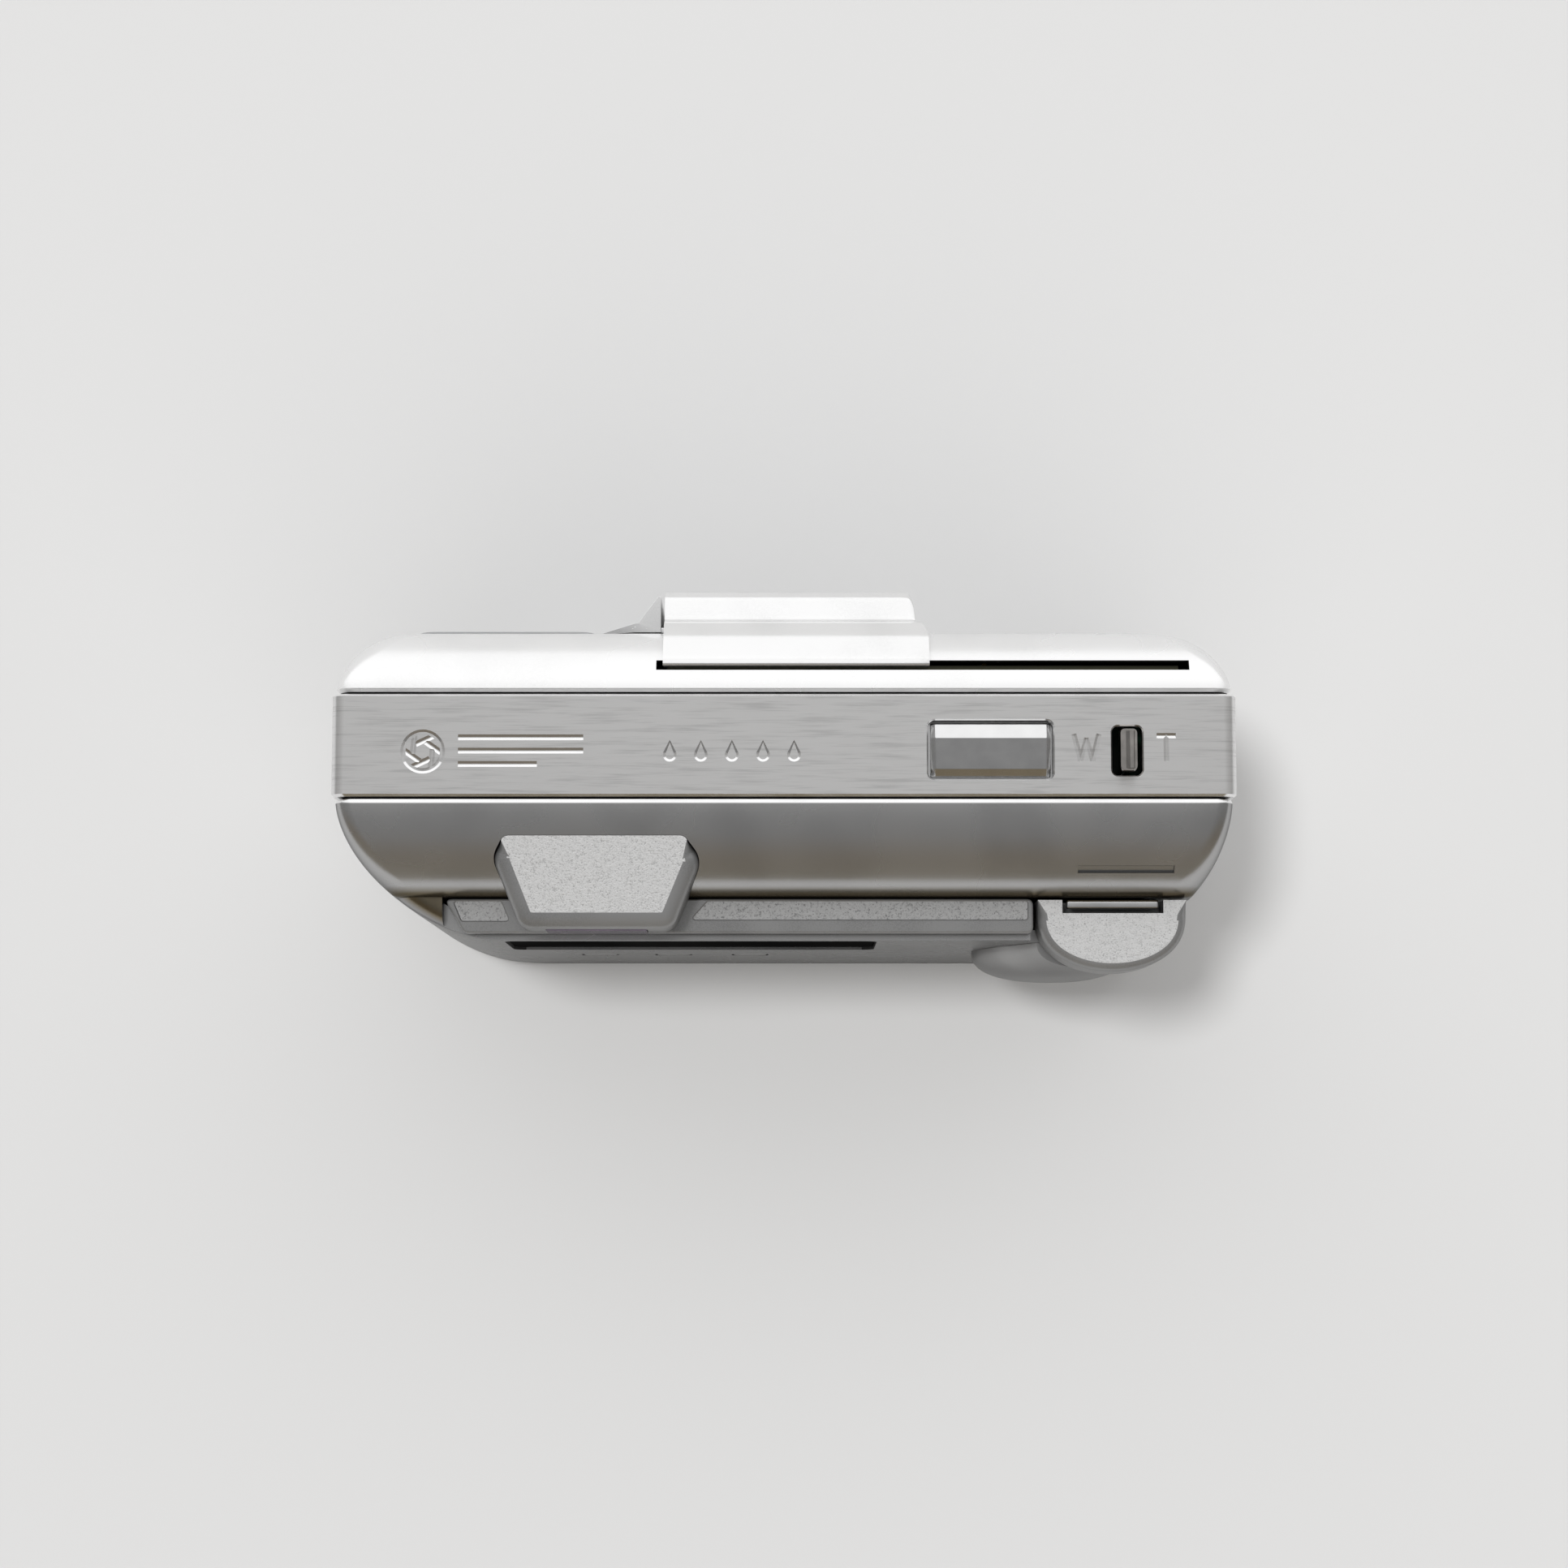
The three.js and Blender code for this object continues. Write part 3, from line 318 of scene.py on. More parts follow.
def shade(mesh, angle=32):
    """Smooth faces, with the edges sharper than the angle kept crisp."""
    work = bmesh.new()
    work.from_mesh(mesh)
    for face in work.faces:
        face.smooth = True
    for edge in work.edges:
        edge.smooth = len(edge.link_faces) == 2 and edge.calc_face_angle(0) < math.radians(angle)
    work.to_mesh(mesh)
    work.free()


def finish(piece, body, material, replaced=(), angle=32, extras=()):
    """Scales a piece to metres, gives it its material, and fixes it to its body."""
    piece.data.transform(Matrix.Scale(MM, 4))
    shade(piece.data, angle)
    weighted = piece.modifiers.new("normals", "WEIGHTED_NORMAL")
    weighted.keep_sharp = True
    piece.data.materials.clear()
    piece.data.materials.append(material)
    for index, (other, chosen) in enumerate(extras, 1):
        piece.data.materials.append(other)
        for face in piece.data.polygons:
            if chosen(face.center / MM, face.normal):
                face.material_index = index
    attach(piece, body)
    if replaced:
        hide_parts(*replaced)
    return piece


# ---------- Materials ----------
def node(tree, kind, inputs=None, **settings):
    made = tree.nodes.new("ShaderNode" + kind)
    for name, value in settings.items():
        setattr(made, name, value)
    for name, value in (inputs or {}).items():
        if isinstance(value, bpy.types.NodeSocket):
            tree.links.new(value, made.inputs[name])
        else:
            made.inputs[name].default_value = value
    return made


def new_material(name, **sockets):
    """A material and its shader; sockets are fixed values, with _ for a space in a name."""
    material = bpy.data.materials.new(name)
    material.use_nodes = True
    shader = material.node_tree.nodes["Principled BSDF"]
    for socket, value in sockets.items():
        shader.inputs[socket.replace("_", " ")].default_value = value
    return material, material.node_tree, shader


def noise(tree, size, stretch=(1, 1, 1), detail=2.0, roughness=0.5):
    """Noise with features of about size millimetres, drawn out along the axes."""
    position = node(tree, "TexCoord").outputs["Object"]
    scale = [1 / (size * MM * share) for share in stretch]
    mapped = node(tree, "Mapping", {"Vector": position, "Scale": scale})
    made = node(
        tree,
        "TexNoise",
        {"Vector": mapped.outputs["Vector"], "Scale": 1, "Detail": detail, "Roughness": roughness},
    )
    return made.outputs["Fac"]


def spread(tree, value, low, high, start=0.3, end=0.7):
    """Maps noise between start and end to the range from low to high."""
    made = node(
        tree,
        "MapRange",
        {"Value": value, "From Min": start, "From Max": end, "To Min": low, "To Max": high},
    )
    return made.outputs["Result"]


def tint(tree, value, dark, light, start=0.3, end=0.7):
    """A colour that runs from dark to light as the value goes from start to end."""
    ramp = node(tree, "ValToRGB", {"Fac": value})
    ramp.color_ramp.elements[0].position = start
    ramp.color_ramp.elements[1].position = end
    ramp.color_ramp.elements[0].color = (*dark, 1)
    ramp.color_ramp.elements[1].color = (*light, 1)
    return ramp.outputs["Color"]


def bump(tree, shader, height, strength, distance):
    made = node(tree, "Bump", {"Height": height, "Strength": strength, "Distance": distance * MM})
    tree.links.new(made.outputs["Normal"], shader.inputs["Normal"])


def grey(value, warm=0.0):
    return (value * (1 + warm), value, value * (1 - warm))


def satin_paint(name, dark, light, metallic=0.8, rough=(0.3, 0.38), flake=0.25, edge=1.0):
    """Silver paint: fine flakes and a faint cloudiness; edge is its gloss at a grazing angle."""
    material, tree, shader = new_material(
        name, Metallic=metallic, Specular_Tint=(edge, edge, edge, 1)
    )
    flakes = noise(tree, 0.09, detail=1)
    cloud = noise(tree, 9, detail=1)
    mixed = node(tree, "Math", {0: flakes, 1: cloud}, operation="ADD").outputs[0]
    tree.links.new(tint(tree, mixed, dark, light, 0.75, 1.25), shader.inputs["Base Color"])
    tree.links.new(spread(tree, cloud, *rough), shader.inputs["Roughness"])
    bump(tree, shader, flakes, flake * 0.3, 0.01)
    return material


def shoulder_paint_with_shadow(name, dark, light):
    """Satin paint with a painted warm shadow in the crease where the shoulder runs down to the
    eyepiece strip.
    """
    material = satin_paint(name, dark, light, 0.9, (0.24, 0.3), edge=0.3)
    tree = material.node_tree
    shader = tree.nodes["Principled BSDF"]
    paint = shader.inputs["Base Color"].links[0].from_socket
    parts = node(tree, "SeparateXYZ", {"Vector": node(tree, "TexCoord").outputs["Object"]})
    near_foot = spread(tree, parts.outputs["Y"], 0, 1, 13.1 * MM, 13.95 * MM)
    above_door = spread(tree, parts.outputs["Z"], 0, 0.8, 49.5 * MM, 50.5 * MM)
    share = node(tree, "Math", {0: near_foot, 1: above_door}, operation="MULTIPLY").outputs[0]
    # painted warm shadow in the crease at the shoulder's foot, just above the strip
    warm = (0.13, 0.095, 0.035, 1)
    shaded_paint = node(tree, "MixRGB", {"Fac": share, "Color1": paint, "Color2": warm})
    tree.links.new(shaded_paint.outputs["Color"], shader.inputs["Base Color"])
    return material


def brushed_steel(name, dark, light):
    """Steel brushed along the belt, so that its gloss spreads across the brushing."""
    material, tree, shader = new_material(
        name, Metallic=1.0, Anisotropic=0.85, Anisotropic_Rotation=0.25
    )
    round_belt = node(tree, "Tangent", direction_type="RADIAL", axis="Y")
    tree.links.new(round_belt.outputs["Tangent"], shader.inputs["Tangent"])
    lines = noise(tree, 0.1, (55, 1, 55), detail=3, roughness=0.75)
    patches = noise(tree, 0.6, (14, 1, 14), detail=2)
    mixed = node(tree, "Math", {0: lines, 1: patches}, operation="ADD").outputs[0]
    tree.links.new(tint(tree, mixed, dark, light, 0.75, 1.25), shader.inputs["Base Color"])
    tree.links.new(spread(tree, lines, 0.38, 0.48), shader.inputs["Roughness"])
    bump(tree, shader, lines, 0.12, 0.006)
    return material


def sparkle_plastic(name, dark, light, height=0.06):
    """Moulded silver plastic with a fine random pebble that glitters."""
    material, tree, shader = new_material(name, Metallic=0.5)
    pebble = noise(tree, 0.5, detail=5, roughness=0.72)
    fine = noise(tree, 0.2, detail=2)
    mixed = node(tree, "Math", {0: pebble, 1: fine}, operation="ADD").outputs[0]
    tree.links.new(tint(tree, mixed, dark, light, 0.6, 1.4), shader.inputs["Base Color"])
    tree.links.new(spread(tree, fine, 0.25, 0.5), shader.inputs["Roughness"])
    bump(tree, shader, mixed, 0.8, height)
    return material


def plated(name, dark, light, rough=(0.08, 0.16), size=4):
    """Polished plating with a faint unevenness."""
    material, tree, shader = new_material(name, Metallic=1.0)
    cloud = noise(tree, size, detail=3)
    tree.links.new(tint(tree, cloud, dark, light), shader.inputs["Base Color"])
    tree.links.new(spread(tree, cloud, *rough), shader.inputs["Roughness"])
    return material


def moulded(name, dark, light, rough=(0.45, 0.6), size=0.12, height=0.01, shine=0.5):
    """Plain moulded plastic with a fine spark-eroded grain."""
    material, tree, shader = new_material(name, Specular_IOR_Level=shine)
    grain = noise(tree, size, detail=2)
    cloud = noise(tree, 8, detail=2)
    tree.links.new(tint(tree, cloud, dark, light), shader.inputs["Base Color"])
    tree.links.new(spread(tree, grain, *rough), shader.inputs["Roughness"])
    bump(tree, shader, grain, 0.3, height)
    return material


def clear(name, dark, light, transmission=0.85):
    """Coated glass or clear plastic."""
    material, tree, shader = new_material(name, Transmission_Weight=transmission, IOR=1.5)
    cloud = noise(tree, 6, detail=1)
    tree.links.new(tint(tree, cloud, dark, light), shader.inputs["Base Color"])
    tree.links.new(spread(tree, cloud, 0.02, 0.05), shader.inputs["Roughness"])
    return material


def board_green(name):
    """Solder mask over a grid of copper tracks."""
    material, tree, shader = new_material(name, Roughness=0.4)
    position = node(tree, "TexCoord").outputs["Object"]
    cells = node(tree, "TexVoronoi", {"Vector": position, "Scale": 450}, distance="MANHATTAN")
    tracks = cells.outputs["Distance"]
    colour = tint(tree, tracks, (0.004, 0.014, 0.009), (0.01, 0.03, 0.018), 0.3, 0.5)
    tree.links.new(colour, shader.inputs["Base Color"])
    bump(tree, shader, tracks, 0.3, 0.02)
    return material


FRONT_PAINT = satin_paint("front_paint", grey(0.84), grey(0.9), 0.85, (0.24, 0.3))
# the same silver paint as the front, made darker to paint the shade on the back, with a painted warm
# shadow at the shoulder's foot
REAR_PAINT_SHADED = shoulder_paint_with_shadow("rear_paint_shaded", grey(0.43), grey(0.49))
COVER_PAINT = satin_paint("cover_paint", grey(0.8), grey(0.88), 0.9, (0.17, 0.24))
STEEL = brushed_steel("belt_steel", grey(0.68), grey(0.84))
EDGE_STEEL = plated("cut_edge", grey(0.85), grey(0.95), (0.15, 0.25))
SPARKLE = sparkle_plastic("sparkle_texture", grey(0.34), grey(0.62), 0.09)
# the hump's pebbled plastic made darker to paint the shoulder's shade over the strip's inset panels
SHADED_SPARKLE = sparkle_plastic("sparkle_strip_shaded", grey(0.12), grey(0.38), 0.09)
# the housings' light-silver plastic on their smooth sides and fillets, made dark grey to paint the
# shade on these sloping faces
SMOOTH_HOUSING_SHADED = satin_paint("housing_edges_shaded", grey(0.21), grey(0.27), 0.6, (0.28, 0.36), edge=0.5)
# silver paint made darker to paint the shade on the upright back faces of the thumb rest and the
# mode buttons
THUMB_PAINT_SHADED = satin_paint("thumb_paint_shaded", grey(0.33), grey(0.39), 0.8, (0.28, 0.35), edge=0.3)
BUTTON_PLATE = plated("button_plate", grey(0.74), grey(0.8), (0.16, 0.22), 2.5)
LEVER_PLATE = plated("lever_plate", grey(0.4, 0.05), grey(0.5, 0.05), (0.1, 0.2), 1.5)
CHROME = plated("bright_plate", grey(0.8), grey(0.9), (0.1, 0.2))
BRASS = plated("brass", (0.6, 0.42, 0.16), (0.75, 0.55, 0.25), (0.2, 0.35))
BLACK = moulded("black_moulding", grey(0.012), grey(0.022))
SEAL = moulded("seal_foam", grey(0.01), grey(0.03), (0.85, 0.95), 0.3, 0.08)
IVORY = moulded("ivory_nylon", (0.6, 0.56, 0.45), (0.72, 0.68, 0.56), (0.35, 0.5))
GREEN = board_green("board_green")
SLEEVE = moulded("battery_sleeve", (0.03, 0.05, 0.09), (0.05, 0.08, 0.13), (0.25, 0.35))
WINDOW = moulded("window_black", grey(0.006), grey(0.01), (0.06, 0.1), 2, 0.0, 0.0)
SLOT_STEEL = plated("slot_steel", (0.1, 0.1, 0.07), (0.13, 0.13, 0.09), (0.3, 0.4))
GLASS = clear("lens_glass", (0.5, 0.62, 0.68), (0.62, 0.7, 0.8))
CLEAR = clear("flash_clear", (0.52, 0.54, 0.55), (0.6, 0.61, 0.61), 0.5)
FINDER = clear("finder_glass", (0.2, 0.16, 0.22), (0.28, 0.22, 0.3), 0.5)


# ---------- Body shells ----------
def draw_in(share, curve):
    """How far a superellipse quarter has drawn in at a share of its depth."""
    amount, power = curve
    inside = max(0.0, 1 - clamp(share) ** power)
    return amount * (1 - inside ** (1 / power))


def front_ring(share, inset, y):
    side = SHELL_X - draw_in(share, FRONT_SIDE) - inset
    top = SHELL_TOP - draw_in(share, FRONT_TOP) - inset
    bottom = draw_in(share, FRONT_BOTTOM) + inset
    corner = 2 + 2.5 * share**2
    return [(u, y, v) for u, v in rounded_rect(-side, side, bottom, top, corner)]


def front_solid(name, inset, rows, rim):
    """The front shell's outline as a solid; rim is the bright chamfer at the belt."""
    depth = FRONT_START - FACE_Y
    rings = [front_ring(0, inset + rim, FRONT_START + (0 if rim else 1))]
    for i in range(rows + 1):
        share = math.sin(math.pi / 2 * i / rows)
        y = FRONT_START - share * (depth - inset)
        rings.append(front_ring(share, inset, y - (rim if i == 0 else 0)))
    return loft(name, rings)


def rear_ring(y, inset, rim=0.0):
    """The rear shell's outline at y, one inset further in."""
    depth = BACK_Y - REAR_START
    share = clamp((y + inset - REAR_START) / depth)
    shoulder = clamp((y + inset - REAR_START) / (STRIP_Y - REAR_START))
    left = SHELL_X - draw_in(share, REAR_LEFT) - inset - rim
    right = SHELL_X - draw_in(share, REAR_RIGHT) - inset - rim
    top = SHELL_TOP - draw_in(shoulder, REAR_TOP) - inset - rim
    bottom = draw_in(share, REAR_BOTTOM) + inset + rim
    corner = 2 + 2 * share
    return [(u, y, v) for u, v in rounded_rect(-right, left, bottom, top, corner)]


# The bright chamfer of a shell at the belt: its depth, and how far the rear one draws in
RIM = 0.42
RIM_DROP = 0.17


def rear_solid(name, inset, rows, rim=0.0):
    shoulder = STRIP_Y - REAR_START
    stations = [REAR_START + shoulder * math.sin(math.pi / 2 * i / rows) for i in range(rows + 1)]
    stations = [y for y in stations if y < STRIP_Y - inset - 0.02] + [STRIP_Y - inset]
    rest = BACK_Y - inset - stations[-1]
    stations += [stations[-1] + rest * math.sin(math.pi / 2 * i / rows) for i in range(1, rows + 1)]
    start = REAR_START if rim else REAR_START - 1
    rings = [rear_ring(start, inset, RIM_DROP if rim else 0)]
    rings += [rear_ring(max(y, REAR_START + rim), inset) for y in stations]
    return loft(name, rings)


COVER_SLOT = (COVER[0] - 31.1, COVER[1] + 0.8, -13.7, -12.45)
LOWER_SLOT = (5.7, 7)
LENS_HOLE = 14
BATTERY_RECESS = 4
MIDDLE = Vector((0, 0, HEIGHT / 2))
FLASH = mm_box("flash_window")
FLASH_CORNER = 2.4


def flash_outline(grow):
    return face_outline(FLASH, grow, FLASH_CORNER + grow)


def is_inside(centre, normal):
    """True for a face that looks towards the middle of the camera."""
    return (MIDDLE - centre).dot(normal) > 0


def battery_cuts():
    """Room for the battery door, for its hinge side as it turns, and for the battery's foot."""
    x0, x1, y0, y1 = mm_box("battery_door")[:4]
    low, high = mm_box("battery")[:2]
    x, y, _ = mm_centre("battery")
    door_top, hinge_gap = 1.3, 0.8
    return [
        block("cut", x0 - GAP, x1 + hinge_gap, y0 - GAP, y1 + GAP, -1, door_top + GAP),
        block("cut", x + 5, x1 + hinge_gap, y0 - GAP, y1 + GAP, -1, BATTERY_RECESS),
        rod("cut", "z", (high - low) / 2 + GAP, 1, BATTERY_RECESS, x, y),
    ]


def make_front_shell():
    shell = front_solid("front_shell_skin", 0, 30, RIM)
    finder, focus = mm_box("finder_objective"), mm_box("focus_window_far")
    face = (FACE_Y - 2, FACE_Y + 3)
    room = 0.6
    cuts = [
        front_solid("hollow", SHELL_WALL, 14, 0),
        block("cut", *COVER_SLOT, 54, HEIGHT),
        block("cut", *COVER_SLOT[:2], *face, *LOWER_SLOT),
        rod("cut", "y", LENS_HOLE, *face, LENS_X, LENS_Z, 96),
        block(
            "cut", focus[0] - room, finder[1] + 2 * room, *face, finder[4] - room, finder[5] + room
        ),
        slab("cut", "y", flash_outline(0.5), *face),
    ] + battery_cuts()
    combine(shell, cuts)
    return finish(
        shell, "body", FRONT_PAINT, ["front_shell"], 32, [(BLACK, is_inside)]
    )


# The film door wraps round the end of the body as far forwards as this.
DOOR_WRAP_Y = 10.8


def hump_outline():
    corners = [
        (33.4, 7.45, 1.2), (34.8, 10.0, 2.6), (31.4, 18.5, 2.3), (13.2, 18.5, 2.3),
        (9.8, 10.2, 2.6), (11.9, 7.45, 1.2),
    ]
    return rounded_path(corners, 8)


def make_rear_shell():
    shell = rear_solid("rear_shell_skin", 0, 30, RIM)
    x0, x1, y0, y1, z0, z1 = mm_box("film_door_latch")
    notch = mm_box("thumb_rest")[1] - 5.5
    top = DOOR[5]
    relief = block("cut", -46.6, -35.1, 10.9, 11.75, 50, 60)
    combine(relief, [rear_solid("core", 0.25, 30)])
    cuts = [
        rear_solid("hollow", SHELL_WALL, 14),
        block("cut", -FAR, 41.3, STRIP_Y, BACK_Y + 3, top, HEIGHT),
        block("cut", -FAR, notch, STRIP_Y, BACK_Y + 3, STRAP[4] - 2 * GAP, HEIGHT),
        block("cut", -FAR, FAR, STRIP_Y, BACK_Y + 3, DOOR[4] - GAP, top + GAP),
        block("cut", 30, FAR, DOOR_WRAP_Y - GAP, BACK_Y + 3, DOOR[4] - GAP, top + GAP),
        slab("cut", "z", shrink(hump_outline(), -0.05), 50, FAR),
        block("cut", x0 - 3, x1 + 3, y0 - GAP, y1 + GAP, z0 - GAP, z1 + 4.3, 0.2),
        relief,
    ]
    combine(shell, cuts)
    lip = block("hinge_lip", -49.2, -44, 12.7, 13.9, 1.4, STRAP[4] - 0.5)
    foot = rod("hinge_foot", "z", 2.6, 1.0, DOOR[4] - GAP, HINGE_X, HINGE_Y, 64)
    shell = merge("rear_shell_skin", [shell, lip, foot])

    def is_rim(centre, normal):
        outwards = max(abs(normal.x), abs(normal.z))
        return centre.y < REAR_START + RIM and normal.y < -0.2 and outwards > 0.5

    def is_lining(centre, normal):
        return is_inside(centre, normal) and centre.y < STRIP_Y

    return finish(
        shell, "body", REAR_PAINT_SHADED, ["rear_shell"], 32,
        [(EDGE_STEEL, is_rim), (BLACK, is_lining)],
    )


def make_seal(name, y):
    """A dark gasket behind the parting line between the belt and a shell."""
    side = HALF_WIDTH - BELT_WALL - GAP
    top = HEIGHT - BELT_WALL - GAP
    low, width = BELT_WALL + GAP, 0.6
    outer = rounded_rect(-side, side, low, top, 0.8)
    seal = slab(name, "y", outer, y - width, y + width)
    inner = rounded_rect(-side + width, side - width, low + width, top - width, 0.5)
    open_base = block("cut", -FAR, FAR, -20, 20, 0, 4.5)
    combine(seal, [slab("cut", "y", inner, y - 2, y + 2), open_base])
    return finish(seal, "body", SEAL)


# ---------- Belt with its engraved marks ----------
ENGRAVED = 0.13
GROOVE_SLOPE = 0.3
LETTER_Y = (-4.4, -1.5)
LETTER_STROKE = 0.34
MARK_STROKE = 0.4


def groove(outline, slope=GROOVE_SLOPE):
    """A cutter for a mark in the belt's top, with sloping sides."""
    return prism(
        "mark", "z",
        [
            (shrink(outline, slope / 2), HEIGHT - ENGRAVED),
            (shrink(outline, -slope / 2), HEIGHT),
            (shrink(outline, -slope), HEIGHT + ENGRAVED),
        ],
    )


def stroke(start, end, width):
    """A straight groove between two points of the belt's top."""
    start, end = Vector(start), Vector(end)
    along = (end - start).normalized() * width / 2
    across = along.orthogonal()
    corners = (
        start - along - across, end + along - across, end + along + across, start - along + across,
    )
    return groove([tuple(c) for c in corners])


def letter_w(x, width, stroke_width):
    """A W that reads from behind the camera."""
    top, bottom = LETTER_Y
    peak = top + 0.5
    heights = (top, bottom, peak, bottom, top)
    turns = [(x + width * k / 4, heights[k + 2]) for k in range(-2, 3)]
    return [stroke(turns[k], turns[k + 1], stroke_width) for k in range(4)]


def letter_t(x, width, stroke_width):
    top, bottom = LETTER_Y
    return [
        stroke((x - width / 2, top), (x + width / 2, top), stroke_width),
        stroke((x, top), (x, bottom), stroke_width),
    ]


def iris_mark(x, y, radius):
    """A ring with six short blades in it."""
    ring = groove(arc(x, y, radius, 0, 354, 59))
    core = rod("core", "z", radius - 0.45, HEIGHT - 1, HEIGHT + 2, x, y, 60)
    parts = [combine(ring, [core])]
    for k in range(6):
        angle = math.radians(60 * k)
        start = Vector((math.cos(angle), math.sin(angle))) * radius * 0.8
        aim = angle + math.radians(145)
        end = start + Vector((math.cos(aim), math.sin(aim))) * radius * 0.72
        parts.append(stroke(start + Vector((x, y)), end + Vector((x, y)), MARK_STROKE))
    return parts


def drop_outline(x, y, size):
    """A water drop with its tip towards the lens side."""
    round_part = arc(x, y + 0.2 * size, 0.45 * size, -25, 205, 14)
    return round_part + [(x, y - 0.9 * size)]


def engraved_marks():
    marks = letter_w(-36.0, 2.9, LETTER_STROKE) + letter_t(-45.5, 1.9, LETTER_STROKE)
    marks += iris_mark(43.0, -2.5, 2.5)
    lines_start = 38.6
    for length, y in ((14.5, -4.2), (14.5, -2.6), (9.0, -1.0)):
        marks.append(stroke((lines_start - length, y), (lines_start, y), MARK_STROKE))
    for k in range(5):
        marks.append(groove(drop_outline(13.6 - 3.7 * k, -2.4, 1.5)))
    return marks


def top_hole(x0, x1, y0, y1, corner):
    """A hole through the belt's top with a small chamfer round its mouth."""
    chamfer = 0.16
    stations = []
    for grow, z in (
        (0, HEIGHT - 3), (0, HEIGHT - chamfer), (chamfer, HEIGHT), (2 * chamfer, HEIGHT + chamfer),
    ):
        outline = rounded_rect(x0 - grow, x1 + grow, y0 - grow, y1 + grow, corner + grow)
        stations.append((outline, z))
    return prism("cut", "z", stations)


SHUTTER_HOLE = (-32.05, -17.15, -6.25, 0.8)
LEVER_HOLE = (-42.65, -39.05, -5.55, 0.35)


def make_belt():
    y0, y1 = BELT[2], BELT[3]
    chamfer = 0.28
    stations = [(chamfer, y0), (0, y0 + chamfer), (0, y1 - chamfer), (chamfer, y1)]
    outlines = [
        (rounded_rect(-HALF_WIDTH + c, HALF_WIDTH - c, c, HEIGHT - c, BELT_CORNER), y)
        for c, y in stations
    ]
    belt = prism("belt_skin", "y", outlines)
    inside = rounded_rect(
        -HALF_WIDTH + BELT_WALL, HALF_WIDTH - BELT_WALL, BELT_WALL, HEIGHT - BELT_WALL, 0.8
    )
    cap_place = mm_centre("side_cap")[1:]
    cuts = [
        slab("cut", "y", inside, y0 - 1, y1 + 1),
        top_hole(*SHUTTER_HOLE, 0.8),
        top_hole(*LEVER_HOLE, 0.7),
        rod("cut", "x", 2.0, -HALF_WIDTH - 1, -HALF_WIDTH + 3, *cap_place),
        rod("cut", "z", 4.9, -1, 3, *mm_centre("tripod_socket")[:2]),
    ] + battery_cuts()
    for name in ("base_screw_left", "base_screw_right"):
        cuts.append(rod("cut", "z", 1.6, -1, 3, *mm_centre(name)[:2]))
    combine(belt, cuts)
    combine(belt, engraved_marks())

    def is_edge(centre, normal):
        return 0.2 < abs(normal.y) < 0.95 and min(centre.z, HEIGHT - centre.z) < 1.5

    return finish(
        belt, "body", STEEL, ["belt_frame"], 20, [(EDGE_STEEL, is_edge)]
    )


# ---------- Lens cover ----------
COVER_BASE = FACE_Y - GAP - SHELL_WALL
COVER_FRONT = COVER[2]
COVER_WALL = 0.8
SHOULDER_Z = 52.3
# The bulge's hand-side end: where its rounding starts, and how long that is
BULGE_X = -14.9
BULGE_ROUND = 1.15
TAPER = 1.3


def cover_path(bulge):
    """The cover's outer line in (y, z), from the lip in the slot down to its lower edge."""

    def mix(full):
        return COVER_BASE + (full - COVER_BASE) * bulge

    corners = [
        (-12.95, 55.8, 0),
        (-12.95, 58.4, 0.3),
        (-14.0, 58.25, 1.5),
        (-16.9, 56.4, 4.5),
        (-19.0, 53.9, 3.5),
        (COVER_BASE - 0.02, SHOULDER_Z, 1.0),
        (mix(-22.3), 51.7, 0.9),
        (mix(COVER_FRONT), 50.3, 1.4),
        (mix(COVER_FRONT), 14.2, 1.4),
        (mix(-22.3), 12.4, 1.2),
        (COVER_BASE - 0.02, 11.4, 0.8),
        (COVER_BASE, 5.9, 0),
    ]
    return rounded_path(corners, 7, closed=False)


def make_cover():
    left = COVER[1]
    flat = cover_path(0)
    full = cover_path(1)
    stops = [left, left - 0.01, 8, 0, -8, -13, -14.4]
    stops += [BULGE_X - BULGE_ROUND * math.sin(math.pi / 2 * k / 8) for k in range(1, 9)]
    columns = []
    for x in stops + [COVER[0]]:
        depth = clamp((BULGE_X - x) / BULGE_ROUND)
        bulge = math.sqrt(1 - depth**2)
        line = []
        for (fy, fz), (gy, gz) in zip(flat, full):
            edge = COVER[0] + TAPER * (1 - ease(fz, SHOULDER_Z, 4))
            y = fy + (gy - fy) * bulge
            z = fz + (gz - fz) * bulge
            line.append((max(x, edge) if x < BULGE_X - 0.9 else x, y, z))
        columns.append(line)
    count = len(columns[0])
    faces = [
        [r * count + i, r * count + i + 1, (r + 1) * count + i + 1, (r + 1) * count + i]
        for r in range(len(columns) - 1)
        for i in range(count - 1)
    ]
    mesh = bpy.data.meshes.new("lens_cover_skin")
    mesh.from_pydata([p for line in columns for p in line], [], faces)
    cover = new_object("lens_cover_skin", mesh)
    clean(mesh, 1e-3)
    front = Vector((0, COVER_FRONT, HEIGHT / 2))
    middle = min(mesh.polygons, key=lambda face: (face.center - front).length)
    if middle.normal.y > 0:
        mesh.flip_normals()
    thick = cover.modifiers.new("wall", "SOLIDIFY")
    thick.thickness = COVER_WALL
    thick.offset = -1
    bake(cover)
    round_edges(cover, 0.12, 2, 60)
    return finish(cover, "cover", COVER_PAINT, ["lens_cover"], 40)


